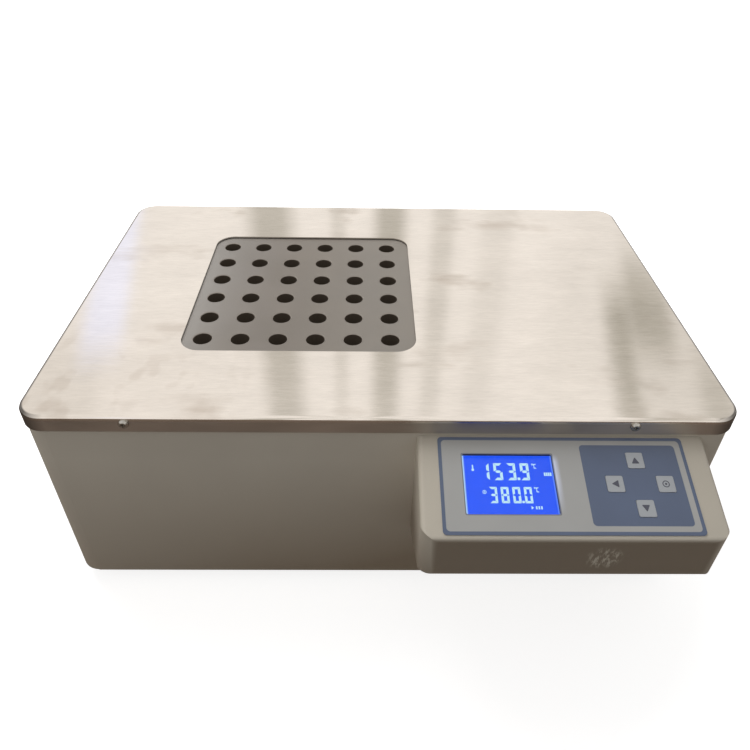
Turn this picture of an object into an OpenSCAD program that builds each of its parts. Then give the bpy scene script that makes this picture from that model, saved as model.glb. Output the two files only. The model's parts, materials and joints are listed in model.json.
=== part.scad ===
// Bench-top block digester: a 36-well heated block under a brushed steel cover,
// in a painted sheet-steel case with a moulded control box on its front.
// The case stands on the plane z = 0, the front faces -y and lengths are millimetres.

/* [Cover] */
// Width of the steel cover
cover_w = 558; // [540:1:640]
// Depth of the steel cover
cover_d = 365; // [350:1:440]
// Outer radius of the cover's four corners
cover_corner_r = 20; // [12:0.5:30]
// Thickness of the cover sheet
cover_t = 1.2; // [0.8:0.1:1.4]
// Height of the cover's turned-down skirt
cover_skirt = 15; // [12:0.5:24]
// Outer radius of the bend between the top and the skirt
cover_bend_r = 3; // [2.6:0.1:4]
// Gap between the skirt and the case wall
cover_fit = 0.3; // [0.2:0.05:0.6]
// Distance from the cover's middle to its screws
cover_screw_x = 195; // [120:1:220]
// Side of the window over the wells
window_size = 205; // [190:1:206]
// Corner radius of that window
window_corner_r = 18; // [6:0.5:24]
// How far the window sits to the right of the well grid
window_shift = 2.5; // [0:0.5:3]

/* [Wells] */
// Diameter of a well
well_d = 16.5; // [12:0.1:18]
// Distance between neighbouring wells
well_pitch = 33; // [30:0.5:34]
// Wells along each side of the grid
well_count = 6; // [2:2:6]
// Width of the chamfer round a well's mouth
well_chamfer = 0.6; // [0.2:0.1:1]

/* [Block] */
// Side of the square block
block_size = 216; // [212:1:220]
// Height of the block, which its wells are drilled through
block_h = 80; // [80:1:90]
// Sideways place of the well grid, from the cover's middle
block_x = -73; // [-76:1:-66]
// Place of the well grid in depth, from the cover's middle
block_y = 3; // [-6:1:6]
// Depth of the block's face below the top of the cover
block_drop = 2; // [1.6:0.1:4]
// Thickness of the plate with the heaters
heater_plate_h = 24; // [18:1:28]
// Diameter of a cartridge heater
heater_d = 12; // [8:0.5:14]
// Radial gap round a cartridge heater
heater_fit = 0.1; // [0.05:0.05:0.2]

/* [Case] */
// Height from the case's underside to the top of the cover
case_h = 198; // [194:1:240]
// Thickness of the case sheet
case_t = 1.2; // [0.8:0.1:1.6]
// Outer radius of the bend of the case's flanges
case_bend_r = 2.4; // [2.2:0.1:3]
// Width of the case's turned-in flanges
case_flange = 14; // [13:1:18]
// Length of the case wall that returns along the rear
rear_return = 20; // [16:1:30]
// Thickness of the base plate
base_t = 1.5; // [1:0.1:2]
// Height of the case's underside above the bench
foot_h = 12; // [8:1:20]
// Largest diameter of a foot
foot_d = 26; // [20:1:32]

/* [Control box] */
// Width of the control box
box_w = 223; // [220:1:240]
// Distance that the control box stands out of the case
box_depth = 79; // [79:1:90]
// From the control box's right side to the cover's right edge
box_gap = 28; // [20:1:46]
// Height from the top of the cover down to the top of the control box
box_drop = 18; // [17:0.5:24]
// Slope of the control box's face
slope_deg = 18; // [17:0.5:24]
// Height of the control box's front
box_front_h = 41; // [36:1:50]
// Height of the control box against the case
box_rear_h = 113; // [108:1:120]
// Wall thickness of the control box
box_wall = 2.5; // [2:0.1:3]
// Radius of the control box's two front corners
box_corner_r = 13; // [8:0.5:18]
// Radius of the control box's edges
box_edge_r = 4; // [3.5:0.5:4]

/* [Keypad] */
// Width of the printed overlay
overlay_w = 189; // [180:1:200]
// Height of the printed overlay along the slope
overlay_h = 77; // [72:0.5:77]
// Thickness of the overlay
overlay_t = 0.6; // [0.3:0.1:1]
// Width of the display's opening in the overlay
view_w = 68.5; // [60:0.5:72]
// Height of the display's opening in the overlay
view_h = 47.5; // [40:0.5:50]
// Side of a square key
key_size = 12.8; // [10:0.1:14]
// Distance from the middle of the keypad to a key
key_reach = 19; // [16:0.5:20]
// Gap round a key
key_gap = 0.25; // [0.15:0.05:0.4]
// Travel of a key
key_travel = 0.5; // [0.2:0.1:0.8]

/* [Rear] */
// Side of the square fan frame
fan_size = 80; // [70:1:90]
// Thickness of the fan
fan_t = 25; // [20:1:30]
// Blades of the fan
fan_blades = 7; // [5:1:9]
// Angle between the rocker's two stops
rocker_swing = 20; // [12:1:24]

/* [Hidden] */
$fn = 64;

// small gaps and overcuts
cut = 1;
eps = 0.01;

// levels
cover_top = foot_h + case_h;
case_top = cover_top - cover_t;
base_z = foot_h + case_t;
floor_z = base_z + base_t;
block_top = cover_top - block_drop;
block_z = block_top - block_h;
heater_z = block_z - heater_plate_h;

// case plan
case_w = cover_w - 2 * (cover_t + cover_fit);
case_d = cover_d - 2 * (cover_t + cover_fit);
case_r = cover_corner_r - cover_t - cover_fit;
wall_h = case_top - foot_h;
panel_y = case_d / 2 - case_t;      // outer face of the rear panel

// fasteners: [thread, head diameter, head height]
m3 = [3, 5.6, 1.9];
m4 = [4, 8, 2.4];
screw_fit = 0.2;
cover_screw_drop = 6.5;
cover_screw_len = 8;
base_screw_len = 6;
rear_screw_len = 7;
box_screw_len = 9;
inlet_screw_len = 8;
fan_screw_hold = 12;                // length of a fan screw in the frame
foot_screw_out = 4;                 // length of a foot's screw above the base plate
foot_inset = [48, 42];

// The plan's origin is the middle of the whole part's box, control box included.
case_y = ((case_d / 2 + box_depth) - (cover_d / 2 + m4[2])) / 2;

// grid of wells, from its middle
well_span = (well_count - 1) * well_pitch;
well_at = [for (i = [0 : well_count - 1]) i * well_pitch - well_span / 2];

// control box levels and the keypad's places along the slope
box_left = cover_w / 2 - box_gap - box_w;
box_top = cover_top - box_drop;
box_front_top = box_top - box_depth * tan(slope_deg);
box_front_low = box_front_top - box_front_h;
box_rear_low = box_top - box_rear_h;
box_under_deg = atan((box_front_low - box_rear_low) / box_depth);
overlay_shift = -1.5;               // of the overlay, from the box's middle
overlay_x = (box_w - overlay_w) / 2 + overlay_shift;
overlay_s = 2.3;
overlay_r = 3;
view_x = overlay_x + 17.8;
view_s = overlay_s + 14.2;
view_r = 1.5;
keypad_x = overlay_x + 149.5;
keypad_s = overlay_s + 38;
key_places = [
    ["up", 0, 1], ["down", 0, -1], ["left", -1, 0], ["set", 1, 0]
];
window_t = 2;
window_lip = 1.5;
window_fit = 0.1;
window_r = 2;
bezel_t = 0.8;
bezel_rim = 5;
board_t = 1.6;
board_drop = 9.5;                   // slope face to the top of the display board
board_size = [178, 62];
board_x = overlay_x + 3.5;
board_s = overlay_s + 6.7;
post_inset = 4.5;
post_w = 5;
screw_pilot = 1.3;                  // radius of a hole that a board screw holds in
pilot_depth = 6;
connector = [28, 9, 6];             // the ribbon's connector under the display board
connector_s = 27;
controller = [22, 22, 2.2];
controller_at = [60, 28];
buzzer = [10, 8, 3];
buzzer_at = [96, 50];
stem_d = 5;
switch_size = [6, 3.5];             // side, height of the body
plunger = [3.5, 4.3];               // diameter, height above the board
key_r = 1.2;
key_proud = 0.3;
key_plate = 1.5;
key_rest = 0.05;                    // gap over a released key's plate
key_rim = 1.4;

// insulation
liner_t = 1;
insulation_t = 36;
liner_in = block_size + 2 * insulation_t;
spacer_h = 29.3;
spacer_d = 12;
spacer_inset = 24;
liner_z = floor_z + spacer_h;
liner_top = case_top - 3;
post_d = 16;
post_edge = 12;                     // from a post's side to the block's edge
post_at = block_size / 2 - post_edge - post_d / 2;
bolt_at = [for (at = [[0, 0], [2, 2], [2, -2], [-2, 2], [-2, -2]]) at * well_pitch];
bolt_d = 6;
bolt_head = [10, 6];
bolt_socket = [5.8, 3.5];
bolt_hold = 18;                     // length of a bolt in the block
probe_d = 4;
probe_fit = 0.1;                    // radial gap round the probe
probe_z = block_z + 5;
probe_depth = 60;
probe_y = 0;
probe_nut = [9, 5];
probe_lead = [2.6, 12];
heater_len = block_size - 20;
heater_mid = heater_z + heater_plate_h / 2;
lead_d = 7;
lead_out = 12;
strip_w = 14;
strip_h = 22;
strip_end = 13;                     // from the last heater to the strip's end
strip_hole = 5;
strip_slot = [3, 6];
thermostat_y = 60;
thermostat_drop = 46;
thermostat_d = 17;
thermostat_h = 7;
thermostat_ears = [8, 32, 1];
thermostat_blade = [0.8, 6, 8];
shield_gap = 11;
shield_x = block_x + block_size / 2 + insulation_t + liner_t + strip_w + shield_gap;
shield_len = liner_in - 8;
shield_foot = 14;
shield_slot = [40, 16];

// rear fittings
inlet_size = [28, 58];
inlet_flange = [32, 62];
inlet_ears = [49, 18];
inlet_hole = 40;
inlet_x = case_w / 2 - case_r - rear_return - inlet_ears[0] / 2 - 2.5;
inlet_z = foot_h + 98;
fan_x = inlet_x - inlet_ears[0] / 2 - 7.5 - fan_size / 2;
fan_z = foot_h + 103;
fan_bore = fan_size - 4;
fan_hole = fan_size - 8.5;
fan_corner_r = 4;
guard_t = 1.5;
guard_bar = 1.8;
guard_step = 8.5;
guard_eye = 13;                     // radius of the guard's smallest ring
inlet_depth = 30;
inlet_flange_t = 2;
recess_size = [24.4, 16.8];
recess_z = -4;
recess_depth = 17;
drawer_size = [22, 9];
drawer_z = -20;
drawer_depth = 24;
rocker_size = [21, 15];
rocker_z = 17.5;
pivot_d = 3;

// electronics on the base, in the bay between the heat shield and the case's right side
bay_x = (shield_x + liner_t + case_w / 2 - case_t) / 2;
sink_size = [100, 80, 32];
sink_fin = 2;
sink_fins = 10;
sink_base = 6;
sink_at = [bay_x, 78];
relay_size = [44, 58, 23];
relay_step = [11, 8];
relay_screw = [6, 12];
terminal_size = [74, 20, 22];
terminal_at = [bay_x, 6];
terminal_pitch = 12;
terminal_hole = [6, 12];
terminal_slot = [2, 8];
supply_size = [116, 96];
supply_at = [bay_x, -74];
standoff_h = 12;
standoff_d = 6;
nut_h = 3;
plug = [20, 8, 12];
plug_at = [-35, -40];               // the ribbon's plug, from the board's middle
transformer_at = [24, 10];
transformer_base = [46, 38, 8];
transformer_coil = [36, 34, 28];
transformer_core = [46, 22, 35];
capacitor = [12, 22];
capacitor_at = [[-44, 26], [-30, 26], [-16, 26]];
parts_at = [[-12, -16], [-38, -14.5], [27, -37], [-35, 6]];
parts_size = [[20, 16, 15], [16, 11, 14], [38, 10, 12], [30, 4, 18]];

FRONT = -1;
REAR = 1;

// ---------- frames ----------

// Puts the case's middle where the whole part's box has its middle at the origin.
module in_case() {
    translate([0, case_y, 0]) children();
}

// The frame of the control box's face: x from its left edge, -y down the slope, z out of it.
module on_slope() {
    translate([box_left, -case_d / 2, box_top]) rotate([slope_deg, 0, 0]) children();
}

// The frame of the rear panel seen from behind: x stays, y is out of the rear.
module on_rear(x, z) {
    translate([x, panel_y, z]) children();
}

// ---------- shared shapes ----------

module rounded_rect(w, d, r) {
    square([w - 2 * r, d], center = true);
    square([w, d - 2 * r], center = true);
    for (sx = [-1, 1], sy = [-1, 1])
        translate([sx * (w / 2 - r), sy * (d / 2 - r)]) circle(r);
}

module stadium(w, h) {
    r = min(w, h) / 2;
    square([w > h ? w - 2 * r : w, h > w ? h - 2 * r : h], center = true);
    for (s = [-1, 1])
        translate(w > h ? [s * (w / 2 - r), 0] : [0, s * (h / 2 - r)]) circle(r);
}

// A quarter of a sheet's bend, with its middle at the origin, towards -x and +y.
module bend_quarter(r, t) {
    intersection() {
        difference() {
            circle(r);
            circle(r - t);
        }
        translate([-r, 0]) square(r);
    }
}

// Section of a skirt of height h and the bend at its top: x goes inwards, y up.
module skirt_section() {
    square([cover_t, cover_skirt - cover_bend_r]);
    translate([cover_bend_r, cover_skirt - cover_bend_r]) bend_quarter(cover_bend_r, cover_t);
}

// Section of a wall of height h with a turned-in flange at its top and its foot.
module channel_section(h) {
    translate([0, case_bend_r]) square([case_t, h - 2 * case_bend_r]);
    translate([case_bend_r, h - case_bend_r]) bend_quarter(case_bend_r, case_t);
    translate([case_bend_r, case_bend_r]) mirror([0, 1]) bend_quarter(case_bend_r, case_t);
    for (y = [0, h - case_t])
        translate([case_bend_r, y]) square([case_flange - case_bend_r, case_t]);
}

// Runs a section straight along x, its outer face at y = 0 and its inside towards +y.
module straight_run(length) {
    translate([-length / 2, 0, 0])
        rotate([90, 0, 90]) linear_extrude(length) children();
}

// Turns a section a quarter round, its outer face at radius r.
module corner_run(r) {
    rotate_extrude(angle = 90) translate([r, 0]) mirror([1, 0]) children();
}

// A pan-head screw with its head up and its bearing face at z = 0.
module pan_screw(m, length) {
    difference() {
        union() {
            translate([0, 0, -length]) cylinder(d = m[0], h = length + eps);
            cylinder(d = m[1], h = m[2] * 0.55);
            translate([0, 0, m[2] * 0.55 - eps])
                cylinder(d1 = m[1], d2 = m[1] * 0.62, h = m[2] * 0.45 + eps);
        }
        for (a = [0, 90]) rotate(a)
            translate([-m[1] * 0.24, -m[0] * 0.11, m[2] * 0.35])
                cube([m[1] * 0.48, m[0] * 0.22, m[2]]);
    }
}

// Screws whose heads face away along y, on the front (-1) or the rear (1).
module facing(side) {
    rotate([-90 * side, 0, 0]) children();
}

// ---------- cover ----------

module cover_window() {
    translate([block_x + window_shift, block_y])
        rounded_rect(window_size, window_size, window_corner_r);
}

module top_cover() {
    color([0.80, 0.77, 0.72]) in_case() difference() {
        union() {
            translate([0, 0, cover_top - cover_t]) linear_extrude(cover_t) difference() {
                rounded_rect(cover_w - 2 * cover_bend_r, cover_d - 2 * cover_bend_r,
                             cover_corner_r - cover_bend_r);
                cover_window();
            }
            translate([0, 0, cover_top - cover_skirt]) {
                for (side = [0, 180]) rotate(side) translate([0, -cover_d / 2, 0])
                    straight_run(cover_w - 2 * cover_corner_r) skirt_section();
                for (side = [90, 270]) rotate(side) translate([0, -cover_w / 2, 0])
                    straight_run(cover_d - 2 * cover_corner_r) skirt_section();
                for (sx = [0, 1], sy = [0, 1]) mirror([sx, 0, 0]) mirror([0, sy, 0])
                    translate([cover_w / 2 - cover_corner_r, cover_d / 2 - cover_corner_r, 0])
                        corner_run(cover_corner_r) skirt_section();
            }
        }
        cover_screw_holes();
    }
}

module cover_screw_holes() {
    for (sx = [-1, 1], side = [FRONT, REAR])
        translate([sx * cover_screw_x, side * cover_d / 2, cover_top - cover_screw_drop])
            rotate([90, 0, 0]) cylinder(d = m4[0] + 2 * screw_fit, h = 20, center = true);
}

module cover_screws() {
    color([0.75, 0.75, 0.75]) in_case()
        for (sx = [-1, 1], side = [FRONT, REAR])
            translate([sx * cover_screw_x, side * cover_d / 2, cover_top - cover_screw_drop])
                facing(side) pan_screw(m4, cover_screw_len);
}

// ---------- case ----------

rear_screw_x = case_w / 2 - case_r - rear_return / 2;
rear_screw_z = [foot_h + 24, foot_h + case_h / 2, cover_top - 30];
base_screw_side_y = [-120, 0, 120];
base_screw_front_x = [-180, 0, 180];
base_screw_rear_x = [-150, 0, 150];
flange_mid = case_bend_r + m4[1] / 2 + 1.7;
box_pad = [10.5, 11, 10];           // moulded pad round a screw that holds the box
box_screw_in = box_wall + box_pad[0] / 2;
box_screw_x = [box_screw_in, box_w - box_screw_in];
box_screw_z = [box_top - 30, box_rear_low + 22];
cable_hole = [60, 26];
cable_hole_r = 3;
cable_x = supply_at[0] + plug_at[0];
cable_z = box_top - 52;

module case_wrap() {
    color([0.60, 0.58, 0.55]) in_case() difference() {
        translate([0, 0, foot_h]) {
            translate([0, -case_d / 2, 0])
                straight_run(case_w - 2 * case_r) channel_section(wall_h);
            for (side = [90, 270]) rotate(side) translate([0, -case_w / 2, 0])
                straight_run(case_d - 2 * case_r) channel_section(wall_h);
            for (sx = [0, 1], sy = [0, 1]) mirror([sx, 0, 0]) mirror([0, sy, 0])
                translate([case_w / 2 - case_r, case_d / 2 - case_r, case_bend_r])
                    corner_run(case_r) square([case_t, wall_h - 2 * case_bend_r]);
            for (sx = [-1, 1])
                translate([sx * (case_w / 2 - case_r - rear_return / 2), panel_y + case_t / 2,
                           wall_h / 2])
                    cube([rear_return, case_t, wall_h - 2 * case_bend_r], center = true);
        }
        cover_screw_holes();
        rear_panel_screw_holes();
        base_screw_holes();
        translate([cable_x, -case_d / 2, cable_z]) rotate([90, 0, 0])
            linear_extrude(10, center = true)
                rounded_rect(cable_hole[0], cable_hole[1], cable_hole_r);
        for (x = box_screw_x, z = box_screw_z)
            translate([box_left + x, -case_d / 2, z]) rotate([90, 0, 0])
                cylinder(d = m3[0] + 2 * screw_fit, h = 10, center = true);
    }
}

module rear_panel_screw_holes() {
    for (sx = [-1, 1], z = rear_screw_z)
        translate([sx * rear_screw_x, panel_y, z]) rotate([90, 0, 0])
            cylinder(d = m3[0] + 2 * screw_fit, h = 10, center = true);
}

module base_screw_holes() {
    base_screw_places() cylinder(d = m4[0] + 2 * screw_fit, h = 12, center = true);
}

module base_screw_places() {
    for (x = base_screw_front_x)
        translate([x, -case_d / 2 + flange_mid, foot_h]) children();
    for (sx = [-1, 1], y = base_screw_side_y)
        translate([sx * (case_w / 2 - flange_mid), y, foot_h]) children();
}

module base_screw_rear_places() {
    for (x = base_screw_rear_x)
        translate([x, panel_y - flange_mid, base_z]) children();
}

module base_screws() {
    color([0.70, 0.70, 0.70]) in_case() {
        base_screw_places() mirror([0, 0, 1]) pan_screw(m4, base_screw_len);
        base_screw_rear_places() mirror([0, 0, 1]) pan_screw(m4, base_screw_len);
    }
}

vent_x = [for (i = [-4 : 4]) block_x - 21 + i * 24];
vent_z = [foot_h + 50, foot_h + 138];
vent_size = [5, 42];
panel_gap = 1;                      // beside the rear panel, before the case's corners

module rear_panel() {
    panel_w = case_w - 2 * case_r - 2 * panel_gap;
    color([0.60, 0.58, 0.55]) in_case() difference() {
        translate([0, panel_y, floor_z]) rotate(180)
            straight_run(panel_w) channel_section(case_top - floor_z);
        cover_screw_holes();
        rear_panel_screw_holes();
        base_screw_rear_places() cylinder(d = m4[0] + 2 * screw_fit, h = 12, center = true);
        for (x = vent_x, z = vent_z)
            translate([x, panel_y, z]) rotate([90, 0, 0])
                linear_extrude(10, center = true) stadium(vent_size[0], vent_size[1]);
        on_rear(fan_x, fan_z) rotate([90, 0, 0]) {
            cylinder(d = fan_bore, h = 10, center = true);
            fan_corners() cylinder(d = m4[0] + 2 * screw_fit, h = 10, center = true);
        }
        on_rear(inlet_x, inlet_z) {
            cube([inlet_size[0] + 0.6, 10, inlet_size[1] + 0.6], center = true);
            inlet_screw_places() rotate([90, 0, 0])
                cylinder(d = m3[0] + 2 * screw_fit, h = 10, center = true);
        }
    }
}

module rear_panel_screws() {
    color([0.75, 0.75, 0.75]) in_case()
        for (sx = [-1, 1], z = rear_screw_z)
            translate([sx * rear_screw_x, panel_y + case_t, z]) facing(REAR)
                pan_screw(m3, rear_screw_len);
}

foot_at = [case_w / 2 - foot_inset[0], case_d / 2 - foot_inset[1]];

module foot_places() {
    for (sx = [-1, 1], sy = [-1, 1])
        translate([sx * foot_at[0], sy * foot_at[1], 0]) children();
}

floor_slot = 6;
bay_slots = [for (i = [-3 : 3]) bay_x + i * 20];
block_slots = [for (i = [-4.5 : 4.5]) block_x + i * 20];

module base_plate() {
    inset = case_bend_r + 0.1;
    color([0.62, 0.62, 0.62]) in_case() difference() {
        translate([0, 0, base_z]) linear_extrude(base_t)
            rounded_rect(case_w - 2 * inset, case_d - 2 * inset, case_r - inset);
        base_screw_holes();
        base_screw_rear_places() cylinder(d = m4[0] + 2 * screw_fit, h = 12, center = true);
        foot_places() translate([0, 0, base_z - cut])
            cylinder(d = m4[0] + 2 * screw_fit, h = base_t + 2 * cut);
        for (x = bay_slots, y = [-30, 20])
            translate([x, y, base_z - cut]) linear_extrude(base_t + 2 * cut)
                stadium(floor_slot, 38);
        for (x = block_slots)
            translate([x, block_y, base_z - cut]) linear_extrude(base_t + 2 * cut)
                stadium(floor_slot, 60);
    }
}

foot_screw_seat = 6;
foot_taper = 2.6;
foot_rim = 4;

module feet() {
    color([0.12, 0.12, 0.12]) in_case() foot_places() difference() {
        union() {
            cylinder(d1 = foot_d - 2 * foot_taper, d2 = foot_d, h = base_z - foot_rim);
            translate([0, 0, base_z - foot_rim - eps]) cylinder(d = foot_d, h = foot_rim + eps);
        }
        translate([0, 0, -cut]) cylinder(d = m4[1] + 2, h = foot_screw_seat + cut);
        cylinder(d = m4[0] + 2 * screw_fit, h = base_z + cut);
    }
}

module foot_screws() {
    color([0.70, 0.70, 0.70]) in_case() foot_places()
        translate([0, 0, foot_screw_seat]) mirror([0, 0, 1])
            pan_screw(m4, base_z + base_t + foot_screw_out - foot_screw_seat);
}

// ---------- heated block ----------

module at_block() {
    in_case() translate([block_x, block_y, 0]) children();
}

module slab(size, z0, z1) {
    translate([-size / 2, -size / 2, z0]) cube([size, size, z1 - z0]);
}

module heating_block() {
    color([0.56, 0.55, 0.55]) at_block() difference() {
        slab(block_size, block_z, block_top);
        for (x = well_at, y = well_at) translate([x, y, block_top]) {
            translate([0, 0, -block_h - cut]) cylinder(d = well_d, h = block_h + 2 * cut);
            translate([0, 0, -well_chamfer])
                cylinder(d1 = well_d, d2 = well_d + 2 * (well_chamfer + cut),
                         h = well_chamfer + cut);
        }
        for (at = bolt_at) translate([at[0], at[1], block_z - cut])
            cylinder(d = bolt_d + 2 * screw_fit, h = bolt_hold + 2 + cut);
        translate([block_size / 2 - probe_depth, probe_y, probe_z]) rotate([0, 90, 0])
            cylinder(d = probe_d + 2 * probe_fit, h = probe_depth + cut);
    }
}

module heater_plate() {
    color([0.66, 0.66, 0.67]) at_block() difference() {
        slab(block_size, heater_z, block_z);
        for (y = well_at) translate([block_size / 2 - heater_len - 4, y, heater_mid])
            rotate([0, 90, 0]) cylinder(d = heater_d + 2 * heater_fit, h = heater_len + 4 + cut);
        for (at = bolt_at) translate([at[0], at[1], heater_z - cut])
            cylinder(d = bolt_d + 2 * screw_fit, h = heater_plate_h + 2 * cut);
    }
}

module block_bolts() {
    color([0.45, 0.45, 0.46]) at_block() for (at = bolt_at) translate([at[0], at[1], 0])
        difference() {
            union() {
                translate([0, 0, heater_z - bolt_head[1]])
                    cylinder(d = bolt_head[0], h = bolt_head[1]);
                translate([0, 0, heater_z - eps])
                    cylinder(d = bolt_d, h = heater_plate_h + bolt_hold + eps);
            }
            translate([0, 0, heater_z - bolt_head[1] - cut])
                cylinder(d = bolt_socket[0], h = bolt_socket[1] + cut, $fn = 6);
        }
}

module cartridge_heaters() {
    reach = insulation_t + liner_t + lead_out;
    color([0.70, 0.68, 0.64]) at_block()
        for (y = well_at) translate([block_size / 2, y, heater_mid - heater_fit]) rotate([0, 90, 0]) {
            translate([0, 0, -heater_len]) cylinder(d = heater_d, h = heater_len);
            translate([0, 0, -eps]) cylinder(d = lead_d, h = reach + eps);
        }
}

module heater_terminals() {
    length = well_span + 2 * strip_end;
    x0 = block_size / 2 + insulation_t + liner_t;
    color([0.90, 0.88, 0.82]) at_block() difference() {
        translate([x0, -length / 2, heater_mid - strip_h / 2])
            cube([strip_w, length, strip_h]);
        for (y = well_at) translate([x0 - cut, y, heater_mid]) rotate([0, 90, 0])
            cylinder(d = lead_d + 0.6, h = lead_out + 0.4 + cut);
        for (y = well_at) translate([x0 + strip_w / 2, y, heater_mid + strip_h / 2 - strip_hole])
            cylinder(d = strip_hole, h = strip_hole + cut);
        for (i = [0 : well_count - 2])
            translate([x0 - cut, (well_at[i] + well_at[i + 1] - strip_slot[0]) / 2,
                       heater_mid + strip_h / 2 - strip_slot[1]])
                cube([strip_w + 2 * cut, strip_slot[0], strip_slot[1] + cut]);
    }
}

module temperature_probe() {
    probe_out = insulation_t + liner_t + 2 * probe_nut[1];
    color([0.72, 0.72, 0.74]) at_block()
        translate([block_size / 2, probe_y, probe_z - probe_fit]) {
            translate([-probe_depth + 2, 0, 0]) rotate([0, 90, 0])
                cylinder(d = probe_d, h = probe_depth - 2 + probe_out);
            translate([insulation_t + liner_t, 0, 0]) rotate([0, 90, 0])
                cylinder(d = probe_nut[0], h = probe_nut[1], $fn = 6);
            translate([probe_out - eps, 0, 0]) rotate([0, 90, 0])
                cylinder(d = probe_lead[0], h = probe_lead[1]);
        }
}

module limit_thermostat() {
    x0 = block_size / 2 + insulation_t + liner_t;
    ears = thermostat_ears;
    blade = thermostat_blade;
    color([0.25, 0.23, 0.22]) at_block() translate([x0, thermostat_y, cover_top - thermostat_drop])
        rotate([0, 90, 0]) difference() {
            union() {
                cylinder(d = thermostat_d, h = thermostat_h);
                linear_extrude(ears[2]) stadium(ears[0], ears[1]);
                for (s = [-1, 1])
                    translate([-blade[0] / 2, (s * thermostat_d / 2 - blade[1]) / 2,
                               thermostat_h - eps])
                        cube(blade);
            }
            for (s = [-1, 1]) translate([0, s * (ears[1] - ears[0]) / 2, -cut])
                cylinder(d = m3[0] + screw_fit, h = ears[2] + 2 * cut);
        }
}

module block_posts() {
    color([0.88, 0.86, 0.80]) at_block() for (sx = [-1, 1], sy = [-1, 1])
        translate([sx * post_at, sy * post_at, liner_z + liner_t])
            cylinder(d = post_d, h = heater_z - liner_z - liner_t);
}

module insulation_base() {
    color([0.86, 0.84, 0.76]) at_block() difference() {
        slab(liner_in - 0.4, liner_z + liner_t, heater_z);
        for (sx = [-1, 1], sy = [-1, 1])
            translate([sx * post_at, sy * post_at, liner_z])
                cylinder(d = post_d + 1, h = heater_z - liner_z + cut);
        for (at = bolt_at) translate([at[0], at[1], heater_z - bolt_head[1] - 1])
            cylinder(d = bolt_head[0] + 2, h = bolt_head[1] + 1 + cut);
    }
}

module insulation_walls() {
    h = liner_top - heater_z;
    long = liner_in - 0.4;
    t = insulation_t - 0.4;
    color([0.88, 0.86, 0.78]) at_block() translate([0, 0, heater_z]) {
        translate([-long / 2, -long / 2, 0]) cube([t, long, h]);
        for (sy = [-1, 1]) translate([-block_size / 2, sy * (block_size / 2 + 0.2 + t / 2) - t / 2, 0])
            cube([block_size, t, h]);
        difference() {
            translate([long / 2 - t, -long / 2, 0]) cube([t, long, h]);
            for (y = well_at) translate([block_size / 2, y, heater_mid - heater_z])
                rotate([0, 90, 0]) cylinder(d = lead_d + 1, h = insulation_t + cut);
            translate([block_size / 2, probe_y, probe_z - heater_z])
                rotate([0, 90, 0]) cylinder(d = probe_d + 1, h = insulation_t + cut);
        }
    }
}

module insulation_liner() {
    color([0.70, 0.71, 0.72]) at_block() difference() {
        slab(liner_in + 2 * liner_t, liner_z, liner_top);
        slab(liner_in, liner_z + liner_t, liner_top + cut);
        for (y = well_at) translate([block_size / 2 + insulation_t - cut, y, heater_mid])
            rotate([0, 90, 0]) cylinder(d = lead_d + 1, h = liner_t + 2 * cut);
        translate([block_size / 2 + insulation_t - cut, probe_y, probe_z])
            rotate([0, 90, 0]) cylinder(d = probe_d + 1, h = liner_t + 2 * cut);
    }
}

module liner_spacers() {
    at = liner_in / 2 - spacer_inset;
    color([0.75, 0.75, 0.75]) at_block() for (sx = [-1, 1], sy = [-1, 1])
        translate([sx * at, sy * at, floor_z]) cylinder(d = spacer_d, h = spacer_h);
}

module heat_shield() {
    slot_y = shield_len / 2 - shield_slot[0];
    color([0.70, 0.71, 0.72]) in_case() difference() {
        translate([shield_x, -shield_len / 2, floor_z]) {
            cube([liner_t, shield_len, case_top - 6 - floor_z]);
            cube([shield_foot, shield_len, liner_t]);
        }
        for (y = [-slot_y, slot_y])
            translate([shield_x - cut, y - shield_slot[0] / 2, floor_z + 24])
                cube([liner_t + 2 * cut, shield_slot[0], shield_slot[1]]);
    }
}

// ---------- control box ----------

function unit(v) = v / norm(v);
function half_angle(p, c, n) = acos(unit(p - c) * unit(n - c)) / 2;
function tangent_at(c, to, d) = c + unit(to - c) * d;

// A polygon whose corners are true arcs of the given radii (0 leaves a corner sharp).
module rounded_polygon(pts, radii) {
    n = len(pts);
    polygon([for (i = [0 : n - 1])
        let (p = pts[(i + n - 1) % n], c = pts[i], q = pts[(i + 1) % n], r = radii[i])
        let (d = r > 0 ? r / tan(half_angle(p, c, q)) : 0)
        each r > 0 ? [tangent_at(c, p, d), tangent_at(c, q, d)] : [c]]);
    for (i = [0 : n - 1]) if (radii[i] > 0) {
        p = pts[(i + n - 1) % n];
        c = pts[i];
        q = pts[(i + 1) % n];
        translate(c + unit(unit(p - c) + unit(q - c)) * radii[i] / sin(half_angle(p, c, q)))
            circle(radii[i]);
    }
}

// Corners of the control box's section, off deep in the wall: -x is forwards, y up.
function box_section(off, back) = [
    [-back, box_top - back * tan(slope_deg) - off / cos(slope_deg)],
    [off - box_depth, box_top - (box_depth - off) * tan(slope_deg) - off / cos(slope_deg)],
    [off - box_depth,
     box_rear_low + (box_depth - off) * tan(box_under_deg) + off / cos(box_under_deg)],
    [-back, box_rear_low + back * tan(box_under_deg) + off / cos(box_under_deg)]
];

// Section across the control box's face, off deep in the wall, with rounded upper edges.
module face_section(off) {
    r = box_edge_r - off;
    w = box_w - 2 * off;
    translate([off, -off]) {
        translate([0, -2 * box_rear_h]) square([w, 2 * box_rear_h - r]);
        translate([r, -r - eps]) square([w - 2 * r, r + eps]);
        for (x = [r, w - r]) translate([x, -r]) circle(r);
    }
}

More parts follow.
